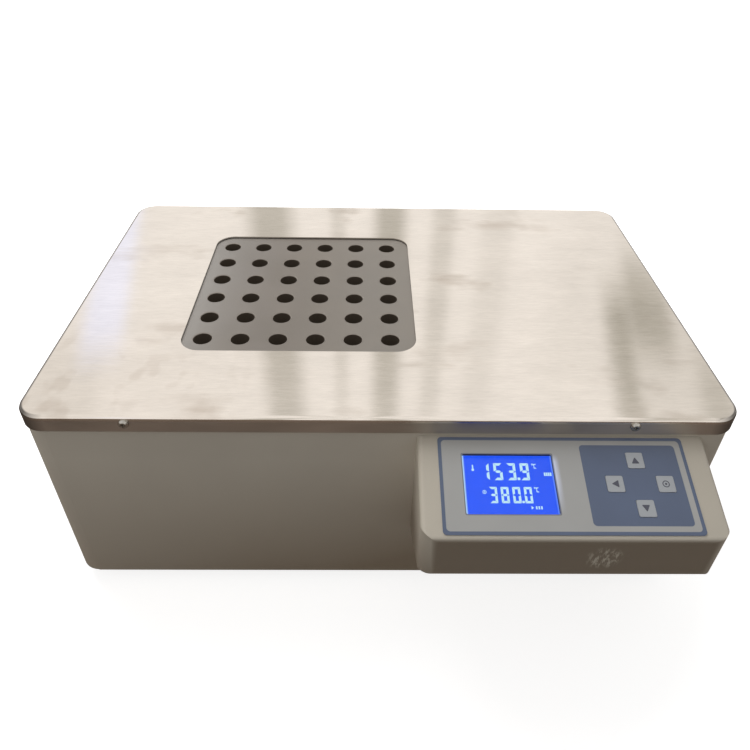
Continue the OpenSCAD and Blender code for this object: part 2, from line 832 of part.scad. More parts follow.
// The control box's outer shape, or with off its hollow, which runs out of its back.
module box_shape(off, back) {
    r = box_edge_r - off;
    plan_r = box_corner_r - off;
    w = box_w - 2 * off;
    intersection() {
        translate([off, 0, 0]) rotate([90, 0, 90]) linear_extrude(w)
            rounded_polygon(box_section(off, back), [0, r, r, 0]);
        translate([0, 0, box_top]) rotate([slope_deg, 0, 0]) translate([0, box_rear_h, 0])
            rotate([90, 0, 0]) linear_extrude(2 * box_depth + box_rear_h) face_section(off);
        linear_extrude(cover_top) translate([box_w / 2, 0]) {
            translate([-w / 2, plan_r + off - box_depth])
                square([w, box_depth - plan_r - off - back]);
            translate([plan_r - w / 2, off - box_depth]) square([w - 2 * plan_r, plan_r + 1]);
            for (sx = [-1, 1]) translate([sx * (w / 2 - plan_r), plan_r + off - box_depth])
                circle(plan_r);
        }
    }
}

module key_field(at) {
    on_slope() translate([keypad_x + at[1] * key_reach, -keypad_s + at[2] * key_reach, 0])
        children();
}

module view_centre() {
    on_slope() translate([view_x + view_w / 2, -view_s - view_h / 2, 0]) children();
}

module board_posts() {
    on_slope() for (x = [post_inset, board_size[0] - post_inset],
                    s = [post_inset, board_size[1] - post_inset])
        translate([board_x + x, -board_s - s, -board_drop]) children();
}

module key_hole(gap, z0, z1) {
    translate([0, 0, z0]) linear_extrude(z1 - z0)
        rounded_rect(key_size + 2 * gap, key_size + 2 * gap, key_r + gap);
}

module control_box() {
    pad = box_pad;
    color([0.78, 0.76, 0.70]) in_case() difference() {
        union() {
            translate([box_left, -case_d / 2, 0]) {
                difference() {
                    box_shape(0, 0);
                    box_shape(box_wall, -cut);
                }
                for (z = box_screw_z) {
                    translate([box_wall - eps, -pad[1], z - pad[2] / 2]) cube(pad);
                    translate([box_w - box_wall - pad[0] + eps, -pad[1], z - pad[2] / 2])
                        cube(pad);
                }
            }
            board_posts() cylinder(d = post_w, h = board_drop - box_wall + eps);
        }
        for (x = box_screw_x, z = box_screw_z)
            translate([box_left + x, -case_d / 2, z]) rotate([90, 0, 0])
                translate([0, 0, -cut]) cylinder(d = m3[0] + 0.1, h = box_screw_len + cut);
        board_posts() translate([0, 0, -cut]) cylinder(r = screw_pilot, h = pilot_depth + cut);
        view_centre() translate([0, 0, -box_wall - cut]) linear_extrude(box_wall + 2 * cut)
            rounded_rect(view_w + 2 * window_lip, view_h + 2 * window_lip, window_r);
        for (at = key_places) key_field(at) key_hole(key_gap, -box_wall - cut, cut);
    }
}

module control_box_screws() {
    color([0.70, 0.70, 0.70]) in_case() for (x = box_screw_x, z = box_screw_z)
        translate([box_left + x, -case_d / 2 + case_t, z]) facing(REAR)
            pan_screw(m3, box_screw_len);
}

module keypad_overlay() {
    color([0.72, 0.72, 0.76]) in_case() difference() {
        on_slope() translate([overlay_x + overlay_w / 2, -overlay_s - overlay_h / 2, 0])
            linear_extrude(overlay_t) rounded_rect(overlay_w, overlay_h, overlay_r);
        view_centre() translate([0, 0, -cut]) linear_extrude(overlay_t + 2 * cut)
            rounded_rect(view_w, view_h, view_r);
        for (at = key_places) key_field(at) key_hole(key_gap, -cut, overlay_t + cut);
    }
}

module display_window() {
    color([0.80, 0.85, 0.90]) in_case() view_centre() translate([0, 0, -window_t])
        linear_extrude(window_t) rounded_rect(view_w + 2 * (window_lip - window_fit),
                                              view_h + 2 * (window_lip - window_fit),
                                              window_r - window_fit);
}

bezel_size = [view_w + 2 * bezel_rim, view_h + 2 * bezel_rim];
bezel_h = board_drop - box_wall - window_fit;

module lcd_bezel() {
    color([0.20, 0.21, 0.24]) in_case() view_centre() translate([0, 0, -board_drop]) difference() {
        translate([-bezel_size[0] / 2, -bezel_size[1] / 2, 0])
            cube([bezel_size[0], bezel_size[1], bezel_h]);
        translate([-bezel_size[0] / 2 + bezel_t, -bezel_size[1] / 2 + bezel_t, -cut])
            cube([bezel_size[0] - 2 * bezel_t, bezel_size[1] - 2 * bezel_t,
                  bezel_h - bezel_t + cut]);
        translate([-view_w / 2 - 0.5, -view_h / 2 - 0.5, 0])
            cube([view_w + 1, view_h + 1, bezel_h + cut]);
    }
}

module lcd_module() {
    w = bezel_size[0] - 2 * bezel_t - 0.2;
    d = bezel_size[1] - 2 * bezel_t - 0.2;
    color([0.15, 0.30, 0.90]) in_case() view_centre() translate([-w / 2, -d / 2, -board_drop])
        cube([w, d, bezel_h - bezel_t]);
}

module under_board(x, s, size) {
    on_slope() translate([x, -s - size[1], -board_drop - board_t - size[2]])
        cube([size[0], size[1], size[2] + eps]);
}

module display_board() {
    color([0.10, 0.35, 0.20]) in_case() difference() {
        union() {
            on_slope() translate([board_x, -board_s - board_size[1], -board_drop - board_t])
                cube([board_size[0], board_size[1], board_t]);
            under_board(cable_x - box_left - connector[0] / 2, connector_s, connector);
            under_board(controller_at[0], controller_at[1], controller);
            under_board(buzzer_at[0], buzzer_at[1], buzzer);
        }
        board_posts() translate([0, 0, -board_t - cut])
            cylinder(d = m3[0] + 2 * screw_fit, h = board_t + 2 * cut);
    }
}

module display_board_screws() {
    color([0.75, 0.75, 0.75]) in_case() board_posts() translate([0, 0, -board_t])
        mirror([0, 0, 1]) pan_screw([2 * screw_pilot, m3[1], m3[2]], board_t + 5);
}

module tact_switches() {
    color([0.10, 0.10, 0.10]) in_case() for (at = key_places) key_field(at)
        translate([0, 0, -board_drop]) {
            translate([-switch_size[0] / 2, -switch_size[0] / 2, 0])
                cube([switch_size[0], switch_size[0], switch_size[1]]);
            translate([0, 0, switch_size[1] - eps])
                cylinder(d = plunger[0], h = plunger[1] - switch_size[1] + eps);
        }
}

// A square key: cap, retaining plate under the wall and stem over the switch.
module key(at) {
    plate = key_size + 2 * key_rim;
    stem_z = plunger[1] - board_drop + key_travel + 0.1;
    color([0.80, 0.80, 0.84]) in_case() key_field(at) {
        key_hole(0, -box_wall - key_rest - eps, overlay_t + key_proud);
        translate([-plate / 2, -plate / 2, -box_wall - key_rest - key_plate])
            cube([plate, plate, key_plate]);
        translate([0, 0, stem_z])
            cylinder(d = stem_d, h = -box_wall - key_rest - key_plate - stem_z + eps);
    }
}

module key_up() { key(key_places[0]); }
module key_down() { key(key_places[1]); }
module key_left() { key(key_places[2]); }
module key_set() { key(key_places[3]); }

// ---------- electronics ----------

// From a path's point to the edge of a strip of thickness t that follows it, mitred.
function edge_offset(path, i, t) =
    let (last = len(path) - 1,
         before = unit(path[max(i, 1)] - path[max(i, 1) - 1]),
         after = unit(path[min(i, last - 1) + 1] - path[min(i, last - 1)]),
         along = unit(before + after))
    [-along[1], along[0]] * (t / 2) / (before * along);

// A flat strip's section along a path of points.
module strip_section(path, t) {
    last = len(path) - 1;
    polygon(concat([for (i = [0 : last]) path[i] + edge_offset(path, i, t)],
                   [for (i = [0 : last]) path[last - i] - edge_offset(path, last - i, t)]));
}

supply_z = floor_z + standoff_h;
supply_top = supply_z + board_t;
ribbon_t = 0.9;
ribbon_w = 18;
ribbon_end = 5;                     // straight run into each connector

// A point under the display board, s down the slope and drop below its face: [y, z].
function below_slope(s, drop) = [
    -case_d / 2 - s * cos(slope_deg) + drop * sin(slope_deg),
    box_top - s * sin(slope_deg) - drop * cos(slope_deg)
];

module ribbon_cable() {
    s = connector_s + connector[1] / 2;
    drop = board_drop + board_t + connector[2];
    plug_y = supply_at[1] + plug_at[1];
    path = [
        below_slope(s, drop),
        below_slope(s, drop + ribbon_end),
        [-case_d / 2 - 12, cable_z],
        [-case_d / 2 + 12, cable_z - 6],
        [-case_d / 2 + 22, cable_z - 24],
        [-case_d / 2 + 30, supply_top + 30],
        [plug_y, supply_top + plug[2] + ribbon_end],
        [plug_y, supply_top + plug[2]]
    ];
    color([0.55, 0.55, 0.58]) in_case() translate([cable_x - ribbon_w / 2, 0, 0])
        rotate([90, 0, 90]) linear_extrude(ribbon_w) strip_section(path, ribbon_t);
}

module supply_posts() {
    for (sx = [-1, 1], sy = [-1, 1])
        translate([supply_at[0] + sx * (supply_size[0] / 2 - 5),
                   supply_at[1] + sy * (supply_size[1] / 2 - 5), 0]) children();
}

module power_board() {
    color([0.12, 0.30, 0.16]) in_case() difference() {
        translate([supply_at[0] - supply_size[0] / 2, supply_at[1] - supply_size[1] / 2, supply_z])
            cube([supply_size[0], supply_size[1], board_t]);
        supply_posts() translate([0, 0, supply_z - cut])
            cylinder(d = m3[0] + 2 * screw_fit, h = board_t + 2 * cut);
    }
}

module board_standoffs() {
    color([0.85, 0.85, 0.80]) in_case() supply_posts() {
        translate([0, 0, floor_z]) cylinder(d = standoff_d, h = standoff_h);
        translate([0, 0, supply_z - eps]) cylinder(d = m3[0], h = board_t + 2 * eps);
        translate([0, 0, supply_top]) cylinder(d = standoff_d, h = nut_h);
    }
}

module on_supply(at) {
    in_case() translate([supply_at[0] + at[0], supply_at[1] + at[1], supply_top]) children();
}

// A block that stands on z = 0, centred on the origin.
module standing(size) {
    translate([-size[0] / 2, -size[1] / 2, 0]) cube(size);
}

module transformer() {
    color([0.70, 0.55, 0.20]) on_supply(transformer_at) {
        standing(transformer_base);
        standing(transformer_coil);
        standing(transformer_core);
    }
}

module board_parts() {
    color([0.20, 0.20, 0.22]) {
        for (at = capacitor_at) on_supply(at) cylinder(d = capacitor[0], h = capacitor[1]);
        on_supply(plug_at) standing(plug);
        for (i = [0 : len(parts_at) - 1]) on_supply(parts_at[i]) standing(parts_size[i]);
    }
}

module relay_heat_sink() {
    step = (sink_size[0] - sink_fin) / (sink_fins - 1);
    color([0.55, 0.56, 0.58]) in_case()
        translate([sink_at[0] - sink_size[0] / 2, sink_at[1] - sink_size[1] / 2, floor_z]) {
            translate([0, 0, sink_size[2] - sink_base])
                cube([sink_size[0], sink_size[1], sink_base]);
            for (i = [0 : sink_fins - 1]) translate([i * step, 0, 0])
                cube([sink_fin, sink_size[1], sink_size[2] - sink_base + eps]);
        }
}

module solid_state_relay() {
    color([0.85, 0.84, 0.80]) in_case()
        translate([sink_at[0] - relay_size[0] / 2, sink_at[1] - relay_size[1] / 2,
                   floor_z + sink_size[2]]) difference() {
            cube(relay_size);
            for (y = [-cut, relay_size[1] - relay_step[0]])
                translate([-cut, y, relay_size[2] - relay_step[1]])
                    cube([relay_size[0] + 2 * cut, relay_step[0] + cut, relay_step[1] + cut]);
            for (x = [relay_size[0] / 4, relay_size[0] * 3 / 4],
                 y = [relay_step[0] / 2, relay_size[1] - relay_step[0] / 2])
                translate([x, y, relay_size[2] - relay_screw[1]])
                    cylinder(d = relay_screw[0], h = relay_screw[1]);
        }
}

module terminal_block() {
    size = terminal_size;
    color([0.88, 0.86, 0.80]) in_case() translate([terminal_at[0], terminal_at[1], floor_z])
        difference() {
            standing(size);
            for (i = [-2.5 : 2.5])
                translate([i * terminal_pitch, 0, size[2] - terminal_hole[1]])
                    cylinder(d = terminal_hole[0], h = terminal_hole[1] + cut);
            for (i = [-2 : 2])
                translate([i * terminal_pitch, 0, size[2] - terminal_slot[1]])
                    standing([terminal_slot[0], size[1] + 2 * cut, terminal_slot[1] + cut]);
        }
}

// ---------- rear fittings ----------

module fan_corners() {
    for (sx = [-1, 1], sy = [-1, 1]) translate([sx * fan_hole / 2, sy * fan_hole / 2, 0])
        children();
}

// The fan's own frame: z points out of the rear, z = 0 on the rear panel's inner face.
module in_fan() {
    in_case() translate([fan_x, panel_y - case_t, fan_z]) rotate([-90, 0, 0]) children();
}

fan_hub = 33;
spindle_d = 4;
spindle_gap = 0.05;
hub_plate = 3;
blade_tip = fan_bore / 2 - 1.2;

module fan_frame() {
    color([0.10, 0.10, 0.11]) in_fan() translate([0, 0, -fan_t]) difference() {
        union() {
            linear_extrude(fan_t) difference() {
                rounded_rect(fan_size, fan_size, fan_corner_r);
                circle(d = fan_bore);
            }
            cylinder(d = fan_hub + 1, h = hub_plate);
            cylinder(d = spindle_d, h = fan_t - 5);
            for (a = [45 : 90 : 315]) rotate(a)
                translate([fan_hub / 2 - 1, -2.5, 0]) cube([(fan_bore - fan_hub) / 2 + 3, 5, hub_plate]);
        }
        fan_corners() translate([0, 0, -cut]) cylinder(d = m4[0] + 0.1, h = fan_t + 2 * cut);
    }
}

module fan_rotor() {
    z0 = hub_plate + 1 - fan_t;
    height = -2 - z0;
    color([0.14, 0.14, 0.15]) in_fan() difference() {
        union() {
            translate([0, 0, z0]) cylinder(d = fan_hub, h = height);
            intersection() {
                translate([0, 0, z0]) cylinder(r = blade_tip, h = height);
                for (i = [0 : fan_blades - 1]) rotate(i * 360 / fan_blades)
                    translate([0, 0, z0 + height / 2]) rotate([38, 0, 0])
                        translate([fan_hub / 2 - 2, -15, -0.8]) cube([fan_bore, 30, 1.6]);
            }
        }
        translate([0, 0, z0 - cut]) cylinder(d = spindle_d + 2 * spindle_gap, h = height - 2 + cut);
    }
}

// A finger guard stamped from one sheet: rings, two crossed bars and a lug at each screw.
module fan_guard() {
    bar = guard_bar;
    color([0.78, 0.78, 0.78]) in_fan() translate([0, 0, case_t]) linear_extrude(guard_t)
        difference() {
            union() {
                for (r = [guard_eye : guard_step : fan_bore / 2 + 1]) difference() {
                    circle(r + bar / 2);
                    circle(r - bar / 2);
                }
                for (a = [45, 135]) rotate(a)
                    square([fan_hole * sqrt(2), bar], center = true);
                fan_corners() circle(d = m4[1] + 1);
            }
            fan_corners() circle(d = m4[0] + 2 * screw_fit);
        }
}

module fan_screws() {
    color([0.72, 0.72, 0.72]) in_fan() translate([0, 0, case_t + guard_t])
        fan_corners() pan_screw(m4, case_t + guard_t + fan_screw_hold);
}

// The inlet's own frame: x and z as in the case, y out of the rear from the panel's face.
module in_inlet() {
    in_case() translate([inlet_x, panel_y, inlet_z]) children();
}

module inlet_screw_places() {
    for (s = [-1, 1]) translate([s * inlet_hole / 2, 0, recess_z]) children();
}

module inlet_slab(y0, y1) {
    translate([0, y1, 0]) rotate([90, 0, 0]) linear_extrude(y1 - y0) children();
}

pin_size = [2, 4];
pin_at = [[-7, -2], [7, -2], [0, 2]];
drawer_gap = 0.2;
pivot_gap = 0.05;
pivot_y = -1;
rocker_room = 0.25;

module inlet_body() {
    recess_clip = 4;
    color([0.08, 0.08, 0.09]) in_inlet() difference() {
        union() {
            inlet_slab(-inlet_depth, eps) square(inlet_size, center = true);
            inlet_slab(0, inlet_flange_t) {
                rounded_rect(inlet_flange[0], inlet_flange[1], 2);
                translate([0, recess_z]) rounded_rect(inlet_ears[0], inlet_ears[1], 5);
            }
        }
        inlet_slab(inlet_flange_t - recess_depth, inlet_flange_t + cut)
            translate([0, recess_z]) polygon([
                [-recess_size[0] / 2, -recess_size[1] / 2],
                [recess_size[0] / 2, -recess_size[1] / 2],
                [recess_size[0] / 2, recess_size[1] / 2 - recess_clip],
                [recess_size[0] / 2 - recess_clip, recess_size[1] / 2],
                [recess_clip - recess_size[0] / 2, recess_size[1] / 2],
                [-recess_size[0] / 2, recess_size[1] / 2 - recess_clip]
            ]);
        inlet_slab(-inlet_depth - cut, 0) for (at = pin_at)
            translate([at[0], recess_z + at[1]]) square(pin_size, center = true);
        inlet_slab(inlet_flange_t - drawer_depth - 1, inlet_flange_t + cut)
            translate([0, drawer_z]) square(drawer_size + [1, 1] * 2 * drawer_gap, center = true);
        inlet_slab(-12, inlet_flange_t + cut) translate([0, rocker_z])
            square(rocker_size + [1, 1] * 2 * rocker_room, center = true);
        translate([-12.4, pivot_y, rocker_z]) rotate([0, 90, 0])
            cylinder(d = pivot_d + 2 * pivot_gap, h = 24.8);
        inlet_screw_places() rotate([90, 0, 0])
            cylinder(d = m3[0] + 2 * screw_fit, h = 20, center = true);
    }
}

module inlet_pins() {
    color([0.80, 0.66, 0.36]) in_inlet() {
        inlet_slab(-inlet_depth - 8, inlet_flange_t - 4) for (at = pin_at)
            translate([at[0], recess_z + at[1]]) square(pin_size, center = true);
    }
}

module fuse_drawer() {
    face_y = inlet_flange_t;
    color([0.12, 0.12, 0.13]) in_inlet() difference() {
        union() {
            inlet_slab(face_y - drawer_depth, face_y + eps)
                translate([0, drawer_z]) square(drawer_size, center = true);
            inlet_slab(face_y, face_y + 1.2)
                translate([0, drawer_z]) rounded_rect(drawer_size[0] - 1, drawer_size[1] - 1, 1);
        }
        for (sx = [-1, 1]) translate([sx * 5, 0, drawer_z]) {
            inlet_slab(face_y - 22.6, face_y - 2.2) {
                circle(d = 5.4);
                translate([-2.7, 0]) square([5.4, drawer_size[1]]);
            }
        }
        inlet_slab(face_y, face_y + 2) translate([0, drawer_z + drawer_size[1] / 2 - 1.4])
            square([10, 1], center = true);
    }
}

module fuses() {
    color([0.75, 0.78, 0.80]) in_inlet() for (sx = [-1, 1])
        inlet_slab(inlet_flange_t - 22.4, inlet_flange_t - 2.4)
            translate([sx * 5, drawer_z - 0.1]) circle(d = 5.2);
}

module rocker() {
    color([0.65, 0.10, 0.10]) in_inlet() translate([0, pivot_y, rocker_z]) {
        rotate([rocker_swing / 2, 0, 0]) rotate([90, 0, 90])
            linear_extrude(rocker_size[0] - 0.5, center = true) polygon([
                [-3.5, -2.5], [-0.5, -6.8], [4.6, -6.8],
                [3.2, 0], [4.6, 6.8], [-0.5, 6.8], [-3.5, 2.5]
            ]);
        rotate([0, 90, 0]) cylinder(d = pivot_d, h = 24.2, center = true);
    }
}

module inlet_screws() {
    color([0.75, 0.75, 0.75]) in_inlet() inlet_screw_places()
        translate([0, inlet_flange_t, 0]) facing(REAR) pan_screw(m3, inlet_screw_len);
}

top_cover();
cover_screws();
case_wrap();
rear_panel();
rear_panel_screws();
base_plate();
base_screws();
feet();
foot_screws();
heating_block();
heater_plate();
block_bolts();
cartridge_heaters();
heater_terminals();
temperature_probe();
limit_thermostat();
block_posts();
insulation_base();
insulation_walls();
insulation_liner();
liner_spacers();
heat_shield();
control_box();
control_box_screws();
keypad_overlay();
display_window();
lcd_module();
lcd_bezel();
display_board();
display_board_screws();
tact_switches();
key_up();
key_down();
key_left();
key_set();
ribbon_cable();
power_board();
board_standoffs();
transformer();
board_parts();
solid_state_relay();
relay_heat_sink();
terminal_block();
fan_frame();
fan_rotor();
fan_guard();
fan_screws();
inlet_body();
inlet_pins();
fuse_drawer();
fuses();
rocker();
inlet_screws();
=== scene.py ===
"""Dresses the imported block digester: finishes for every piece, the display's picture and the
marks on the keys and the mains switch, with a camera, soft light and a pale floor."""

import json
import math

import bmesh
import bpy
from bpy.props import (FloatProperty, FloatVectorProperty, PointerProperty,
                       StringProperty)
from mathutils import Matrix, Vector


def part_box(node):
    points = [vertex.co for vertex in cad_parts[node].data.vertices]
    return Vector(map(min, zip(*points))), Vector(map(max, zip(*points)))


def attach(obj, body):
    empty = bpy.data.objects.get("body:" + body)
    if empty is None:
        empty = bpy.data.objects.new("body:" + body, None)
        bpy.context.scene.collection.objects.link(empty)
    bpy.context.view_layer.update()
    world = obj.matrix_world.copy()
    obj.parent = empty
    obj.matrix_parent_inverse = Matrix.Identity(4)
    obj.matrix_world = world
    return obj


bl_info = {
    "name": "Block digester dressing",
    "version": (1, 0, 0),
    "blender": (4, 5, 0),
    "location": "3D View > Sidebar > Digester",
    "description": "Finishes, display and trim for a bench-top block digester",
    "category": "Object",
}

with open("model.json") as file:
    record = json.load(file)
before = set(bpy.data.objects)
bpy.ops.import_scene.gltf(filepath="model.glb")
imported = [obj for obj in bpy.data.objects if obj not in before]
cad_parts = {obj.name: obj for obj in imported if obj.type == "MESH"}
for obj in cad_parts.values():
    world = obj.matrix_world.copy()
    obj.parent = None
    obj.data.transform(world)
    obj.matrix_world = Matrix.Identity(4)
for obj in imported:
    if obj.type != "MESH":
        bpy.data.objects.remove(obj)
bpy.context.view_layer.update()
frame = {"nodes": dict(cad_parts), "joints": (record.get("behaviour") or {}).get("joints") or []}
NODES = frame["nodes"]
JOINTS = {joint["name"]: joint for joint in frame["joints"]}
MM = 0.001

# The control box's face: x from its left edge, -y down the slope, z out of it.
SLOPE_DEG = 18.0
BOX_LOW, BOX_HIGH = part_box("control_box")
SLOPE = (Matrix.Translation((BOX_LOW.x, BOX_HIGH.y, BOX_HIGH.z))
         @ Matrix.Rotation(math.radians(SLOPE_DEG), 4, "X"))
COVER_LOW, COVER_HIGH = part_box("top_cover")
BLOCK_LOW, BLOCK_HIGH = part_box("heating_block")
CASE_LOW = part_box("case_wrap")[0]

BLACK, WHITE = (0.0, 0.0, 0.0), (1.0, 1.0, 1.0)


# ---------- shader maths ----------

class Wire:
    """A socket in a material that Python's arithmetic works on."""

    def __init__(self, recipe, socket):
        self.recipe = recipe
        self.socket = socket

    def _maths(self, operation, first, second=None):
        return self.recipe.maths(operation, first, second)

    def __add__(self, other):
        return self._maths("ADD", self, other)

    __radd__ = __add__

    def __sub__(self, other):
        return self._maths("SUBTRACT", self, other)

    def __rsub__(self, other):
        return self._maths("SUBTRACT", other, self)

    def __mul__(self, other):
        return self._maths("MULTIPLY", self, other)

    __rmul__ = __mul__

    def __truediv__(self, other):
        return self._maths("DIVIDE", self, other)

    def __pow__(self, other):
        return self._maths("POWER", self, other)

    def __abs__(self):
        return self._maths("ABSOLUTE", self)

    def at_least(self, other):
        return self._maths("MAXIMUM", self, other)

    def at_most(self, other):
        return self._maths("MINIMUM", self, other)

    def clamped(self):
        return self.at_least(0.0).at_most(1.0)

    def below(self, edge, soft):
        """1 where the value is under edge, 0 where it is over, with a soft step."""
        return ((edge - self) / soft + 0.5).clamped()

    def between(self, low, high):
        """Scales a value from low..high to 0..1 and clamps it."""
        return ((self - low) / (high - low)).clamped()


class Recipe:
    """Builds the nodes of one material, or of the world."""

    # A Mix node's sockets for colours come after those for numbers and vectors.
    MIX_FIRST, MIX_SECOND, MIX_RESULT = 6, 7, 2

    def __init__(self, name, world=None):
        self.holder = world or bpy.data.materials.new(name)
        self.holder.use_nodes = True
        self.tree = self.holder.node_tree
        self.tree.nodes.clear()

    def node(self, kind, settings=None, sockets=None, output=0):
        """Adds a node: its settings, then its sockets' values or links. Returns an output."""
        made = self.tree.nodes.new("ShaderNode" + kind)
        for key, value in (settings or {}).items():
            setattr(made, key, value)
        for key, value in (sockets or {}).items():
            self.feed(made.inputs[key], value)
        return Wire(self, made.outputs[output]) if made.outputs else None

    def feed(self, socket, value):
        if isinstance(value, Wire):
            self.tree.links.new(value.socket, socket)
        elif socket.type == "RGBA" and len(value) == 3:
            socket.default_value = (*value, 1.0)
        else:
            socket.default_value = value

    def maths(self, operation, first, second=None):
        values = {i: v for i, v in enumerate((first, second)) if v is not None}
        return self.node("Math", {"operation": operation}, values)

    def mix(self, factor, first, second):
        """Colour first where factor is 0 and second where it is 1."""
        return self.node("Mix", {"data_type": "RGBA"}, {
            "Factor": factor, self.MIX_FIRST: first, self.MIX_SECOND: second}, self.MIX_RESULT)

    def tones(self, factor, colour, dark, light):
        """A colour's shades: dark times it where factor is 0, light times it where it is 1."""
        return self.mix(factor, shade(colour, dark), shade(colour, light))

    def place(self, scale=(1.0, 1.0, 1.0), turn=(0.0, 0.0, 0.0)):
        """The point on the object, in metres, turned and scaled for a pattern."""
        point = self.node("TexCoord", output="Object")
        return self.node("Mapping", None, {"Vector": point, "Rotation": turn, "Scale": scale})

    def axes(self, vector):
        """The x, y and z of a point, each as a value of its own."""
        first = self.node("SeparateXYZ", None, {"Vector": vector})
        return [Wire(self, socket) for socket in first.socket.node.outputs]

    def noise(self, vector, scale, detail, roughness):
        return self.node("TexNoise", None, {
            "Vector": vector, "Scale": scale, "Detail": detail, "Roughness": roughness})

    def bump(self, height, strength, distance):
        return self.node("Bump", None, {
            "Height": height, "Strength": strength, "Distance": distance})

    def surface(self, **sockets):
        """Closes the recipe with a Principled surface and returns the material."""
        names = {k.replace("_", " ").title(): v for k, v in sockets.items()}
        return self.close(self.node("BsdfPrincipled", None, names))

    def close(self, shader, output="OutputMaterial"):
        self.node(output, None, {"Surface": shader})
        return self.holder


def linear(colour):
    """A colour as it looks on screen, 0 to 255, in the renderer's linear values."""
    return tuple((c / 255 / 12.92) if c <= 10 else ((c / 255 + 0.055) / 1.055) ** 2.4
                 for c in colour)


def shade(colour, factor):
    return tuple(c * factor for c in colour)


def dimmed(colour, *factors):
    """A colour with its red, green and blue each dimmed by a factor of its own."""
    return tuple(c * f for c, f in zip(colour, factors))


# ---------- areas on a surface ----------

def slope_place(r):
    """The point on the control box's face: x from its left edge and distance down the slope."""
    x, y, z = r.axes(r.place())
    angle = math.radians(SLOPE_DEG)
    across = x - BOX_LOW.x
    down = (BOX_HIGH.y - y) * math.cos(angle) + (BOX_HIGH.z - z) * math.sin(angle)
    return across, down


def rounded_area(across, down, left, top, width, height, corner):
    """Distance from a rounded rectangle's edge, negative inside it."""
    dx = abs(across - (left + width / 2)) - (width / 2 - corner)
    dy = abs(down - (top + height / 2)) - (height / 2 - corner)
    outside = (dx.at_least(0.0) ** 2.0 + dy.at_least(0.0) ** 2.0) ** 0.5
    return outside + dx.at_least(dy).at_most(0.0) - corner


# ---------- sizes and colours that a user may change ----------

def colour_property(name, description, on_screen):
    """A colour whose default is given as it looks on screen, 0 to 255."""
    return FloatVectorProperty(name=name, description=description, subtype="COLOR", size=3,
                               min=0.0, max=1.0, default=linear(on_screen))


def length_property(name, description, millimetres):
    return FloatProperty(name=name, description=description, default=millimetres * MM,
                         min=0.0, subtype="DISTANCE", unit="LENGTH", precision=5)


class DIGESTER_PG_metal(bpy.types.PropertyGroup):
    """Colours of the bare and coated metal."""

    cover: colour_property("Cover", "Brushed stainless sheet", (221, 215, 208))
    smudge: colour_property("Smudge", "Finger marks on the cover", (176, 164, 152))
    # Painted dark reflection: the skirt's colour is darker than the cover's, and, much darker
    # still, it also paints the dark line along the cover's sides.
    skirt: colour_property("Skirt", "Dulled steel below the cover's bend", (184, 178, 172))
    block: colour_property("Block", "Matt block between the wells", (136, 130, 123))
    coat: colour_property("Coat", "Powder coat on the case", (226, 219, 206))
    zinc: colour_property("Zinc", "Plated inner sheet", (178, 180, 184))
    screw: colour_property("Screw", "Plated screws", (172, 170, 165))


class DIGESTER_PG_plastic(bpy.types.PropertyGroup):
    """Colours of the control box and its overlay."""

    shell: colour_property("Shell", "Moulded control box", (212, 205, 191))
    film: colour_property("Film", "Plain ground of the overlay", (190, 191, 190))
    print_blue: colour_property("Print", "Border and key field on the overlay", (100, 114, 142))
    key: colour_property("Key", "Key caps", (188, 193, 199))
    symbol: colour_property("Symbol", "Marks on the key caps", (88, 90, 104))


class DIGESTER_PG_fittings(bpy.types.PropertyGroup):
    """Colours of the pieces inside, below and behind."""

    plate: colour_property("Plate", "Milled heater plate", (198, 198, 200))
    oxide: colour_property("Black oxide", "Bolts of the block", (70, 70, 74))
    sheath: colour_property("Sheath", "Heaters and temperature probe", (190, 184, 176))
    steatite: colour_property("Steatite", "Heater terminals and block posts", (224, 219, 205))
    phenolic: colour_property("Phenolic", "Limit thermostat", (58, 50, 46))
    fibre: colour_property("Fibre board", "Insulation", (226, 220, 196))
    rubber: colour_property("Rubber", "Feet", (38, 37, 37))
    bezel: colour_property("Bezel", "Tin frame of the display", (84, 86, 92))
    board: colour_property("Board", "Circuit boards", (28, 96, 58))
    switch: colour_property("Switches", "Small switches under the keys", (36, 36, 38))
    cable: colour_property("Cable", "Ribbon cable", (140, 140, 146))
    nylon: colour_property("Nylon", "Standoffs and terminal block", (222, 218, 205))
    tape: colour_property("Tape", "Wrapping of the transformer", (206, 160, 60))
    component: colour_property("Components", "Parts on the power board", (44, 44, 48))
    relay: colour_property("Relay", "Solid state relay", (226, 223, 212))
    sink: colour_property("Heat sink", "Extruded sink of the relay", (186, 187, 190))
    fan: colour_property("Fan", "Frame and rotor of the fan", (40, 40, 42))
    guard: colour_property("Guard", "Wire guard of the fan", (208, 208, 208))
    inlet: colour_property("Inlet", "Mains inlet and fuse drawer", (34, 34, 36))
    brass: colour_property("Brass", "Blades of the inlet", (214, 180, 110))
    rocker: colour_property("Rocker", "Mains switch", (196, 40, 36))
    paint: colour_property("Paint", "Marks on the mains switch", (236, 236, 232))


class DIGESTER_PG_overlay(bpy.types.PropertyGroup):
    """Printed areas of the overlay, along the slope of the control box."""

    left: length_property("Left", "Overlay's left edge from the box's left edge", 15.5)
    top: length_property("Top", "Overlay's upper edge down the slope", 2.3)
    width: length_property("Width", "Width of the overlay", 189.0)
    height: length_property("Height", "Height of the overlay", 77.0)
    corner: length_property("Corner", "Corner radius of the printed areas", 3.0)
    border: length_property("Border", "Width of the printed border", 2.6)
    field_left: length_property("Field left", "Key field's left edge from the box's", 124.0)
    field_top: length_property("Field top", "Key field's upper edge down the slope", 8.6)
    field_width: length_property("Field width", "Width of the key field", 73.5)
    field_height: length_property("Field height", "Height of the key field", 64.0)
    keys_x: length_property("Keys across", "Middle of the keypad from the box's left", 165.0)
    keys_down: length_property("Keys down", "Middle of the keypad down the slope", 40.3)
    reach: length_property("Reach", "From the keypad's middle to a key", 19.0)
    key_face: length_property("Key face", "Height of a key's face above the slope", 0.9)


